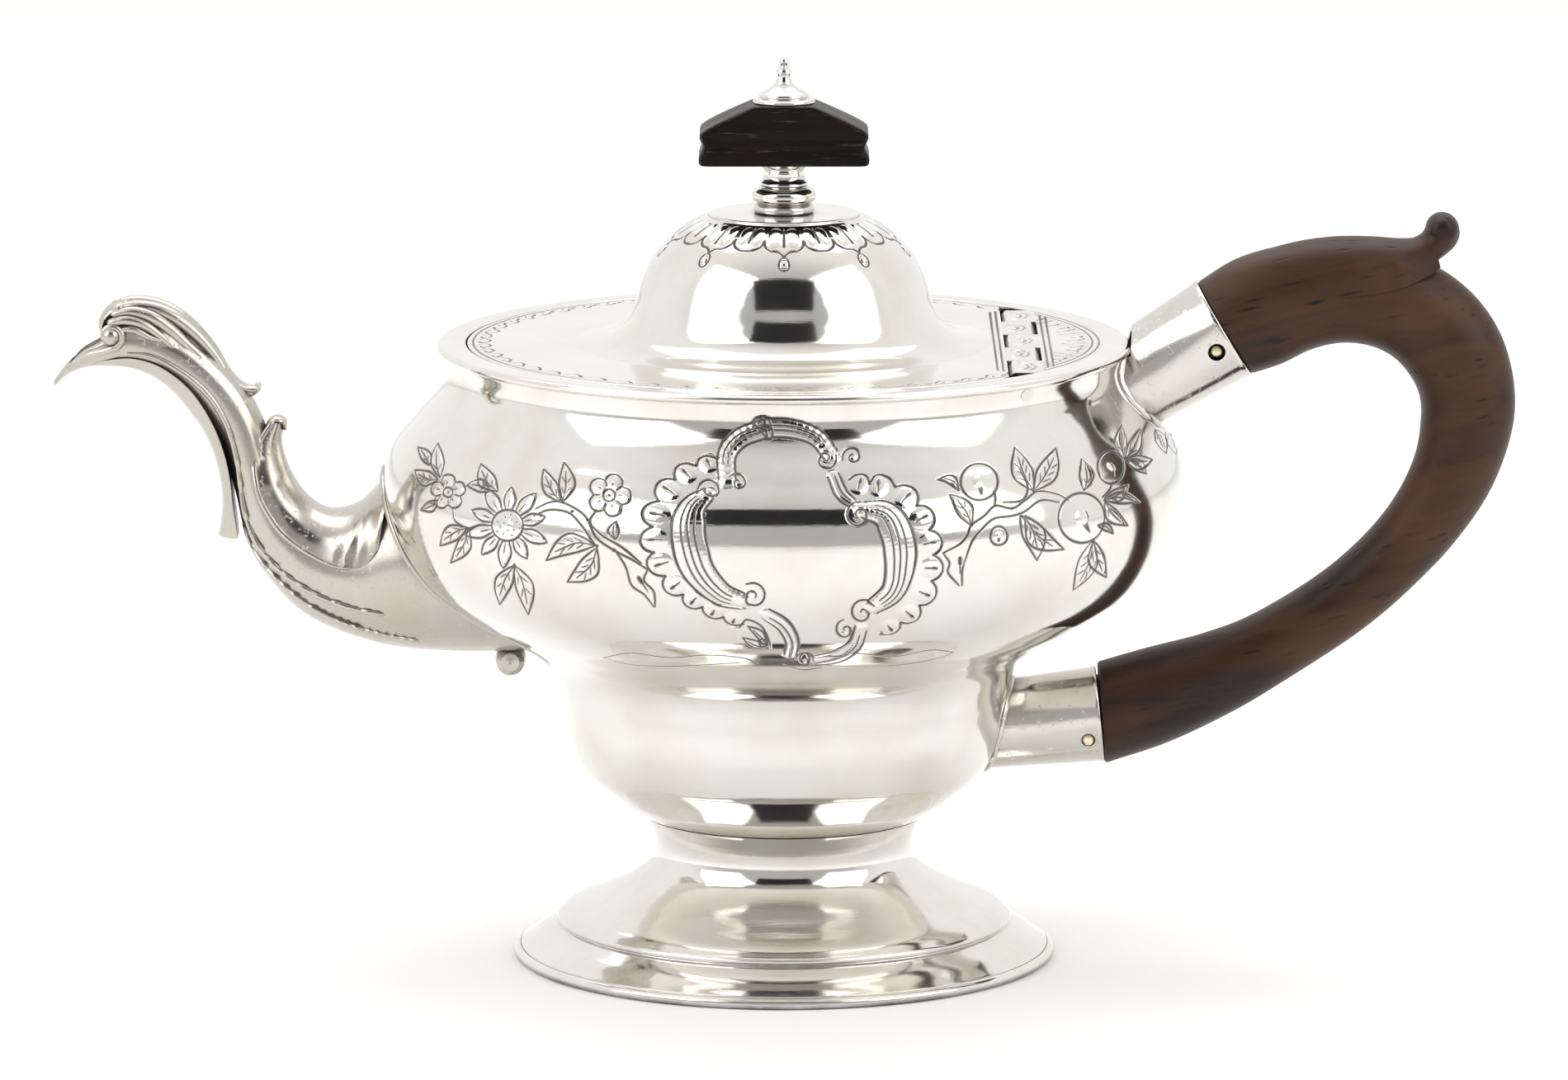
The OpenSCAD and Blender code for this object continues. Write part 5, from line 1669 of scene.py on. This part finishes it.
def make_knob():
    """The turned silver parts of the knob, from the collar on the dome up to the finial."""
    hole = STEM_HOLE_R
    lathe("knob_collar_turned", [
        (hole, DOME_TOP), (5.7, DOME_TOP), (5.95, 149.5), (6.0, 150.0), (5.85, 150.6), (5.3, 151.0),
        (5.15, 151.15),
        (5.5, 151.3), (6.1, 151.7), (6.38, 152.2), (6.45, 152.7), (6.3, 153.3), (5.9, 153.8), (5.3, 154.15),
        (4.7, 154.3), (4.6, SPOOL_Z), (hole, SPOOL_Z)], "knob_collar", LID, 128, 0.1)
    lathe("knob_spool_turned", [
        (hole, SPOOL_Z), (4.5, SPOOL_Z), (4.75, 154.75), (4.85, 155.0), (4.75, 155.3), (4.4, 155.6),
        (4.15, 156.1),
        (4.1, 156.8), (4.2, 157.5), (4.5, 158.2), (4.85, 158.7), (5.1, 158.95), (5.1, BUTTON_Z),
        (hole, BUTTON_Z)],
        "knob_spool", LID, 128, 0.08)
    lathe("finial_turned", [
        (1.1, CAP_Z), (6.0, CAP_Z), (6.15, 171.2), (6.1, 171.6), (5.7, 171.9), (5.1, 172.0), (4.85, 172.15),
        (4.95, 172.45), (4.85, 172.8), (4.3, 173.2), (3.2, 173.7), (2.3, 174.3), (1.7, 175.0),
        (1.35, 175.8),
        (1.2, 176.2), (1.35, 176.45), (1.55, 176.8), (1.5, 177.3), (1.2, 177.8), (0.9, 178.1),
        (0.75, 178.35),
        (0.9, 178.6), (1.05, 178.95), (1.0, 179.4), (0.75, 179.8), (0.35, 179.98), (0, 180), (0, 175.0),
        (1.1, 173.2)],
        "finial", LID, 96, 0.05)


def make_button():
    """A block of hard wood: a hipped, slightly swelling top, a groove round its waist and eased arrises."""
    half_w, half_d, corner_r, stride = 16.8, 7.8, 1.0, 1.2
    # Height, half length along X and half depth along Y.
    levels = [
        (159.2, 16.0, 7.0), (159.35, 16.45, 7.45), (159.8, 16.75, 7.75), (160.5, half_w, half_d),
        (161.3, 16.6, 7.65),
        (162.1, 16.2, 7.35), (162.8, 16.0, 7.2), (163.4, 16.1, 7.3), (164.0, 16.35, 7.5),
        (164.7, 16.6, 7.7),
        (165.4, 16.55, 7.75), (166.0, 16.1, 7.75), (166.8, 14.9, 7.7), (167.8, 13.0, 7.6),
        (168.8, 10.9, 7.5),
        (169.8, 8.7, 7.35), (170.5, 7.1, 7.2), (170.9, 6.2, 7.0), (CAP_Z, 5.8, 6.8),
    ]
    rings = []
    for z, w, d in spline(levels, 5):
        corner = []
        for cx, cy, a0 in ((1, 1, 0), (-1, 1, 90), (-1, -1, 180), (1, -1, 270)):
            for a in np.radians(np.linspace(a0, a0 + 90, 7)):
                x, y = cx * (w - corner_r), cy * (d - corner_r)
                corner.append((x + corner_r * math.cos(a), y + corner_r * math.sin(a)))
        dense = []
        for p, q in zip(corner, corner[1:] + corner[:1]):
            n = max(1, int(math.hypot(q[0] - p[0], q[1] - p[1]) / stride))
            dense += [(p[0] + (q[0] - p[0]) * k / n, p[1] + (q[1] - p[1]) * k / n) for k in range(n)]
        rings.append((min(max(z, BUTTON_Z), CAP_Z), dense))
    count = max(len(d) for _, d in rings)
    full = []
    for z, dense in rings:
        loop = resample(np.array(dense + dense[:1]), count=count + 1)[:-1]
        full.append(np.column_stack([loop, np.full(count, z)]))
    base = solid("button", skin(full))
    combine(base, [turned([(0, 158), (STEM_HOLE_R, 158), (STEM_HOLE_R, 173), (0, 173)], 32)], "DIFFERENCE")
    finish_solid("knob_block", base, knob_wood, LID, ["knob_button"], 40)


# ---------------------------------------------------------------- build
dress_cad_nodes()
make_bowl()
make_foot()
make_rim()
make_lid()
make_knuckles()
make_knob()
make_button()
make_spout()
make_collar()
make_handle()
make_sockets()
make_pins()
make_plugs()
make_studio()
make_camera()
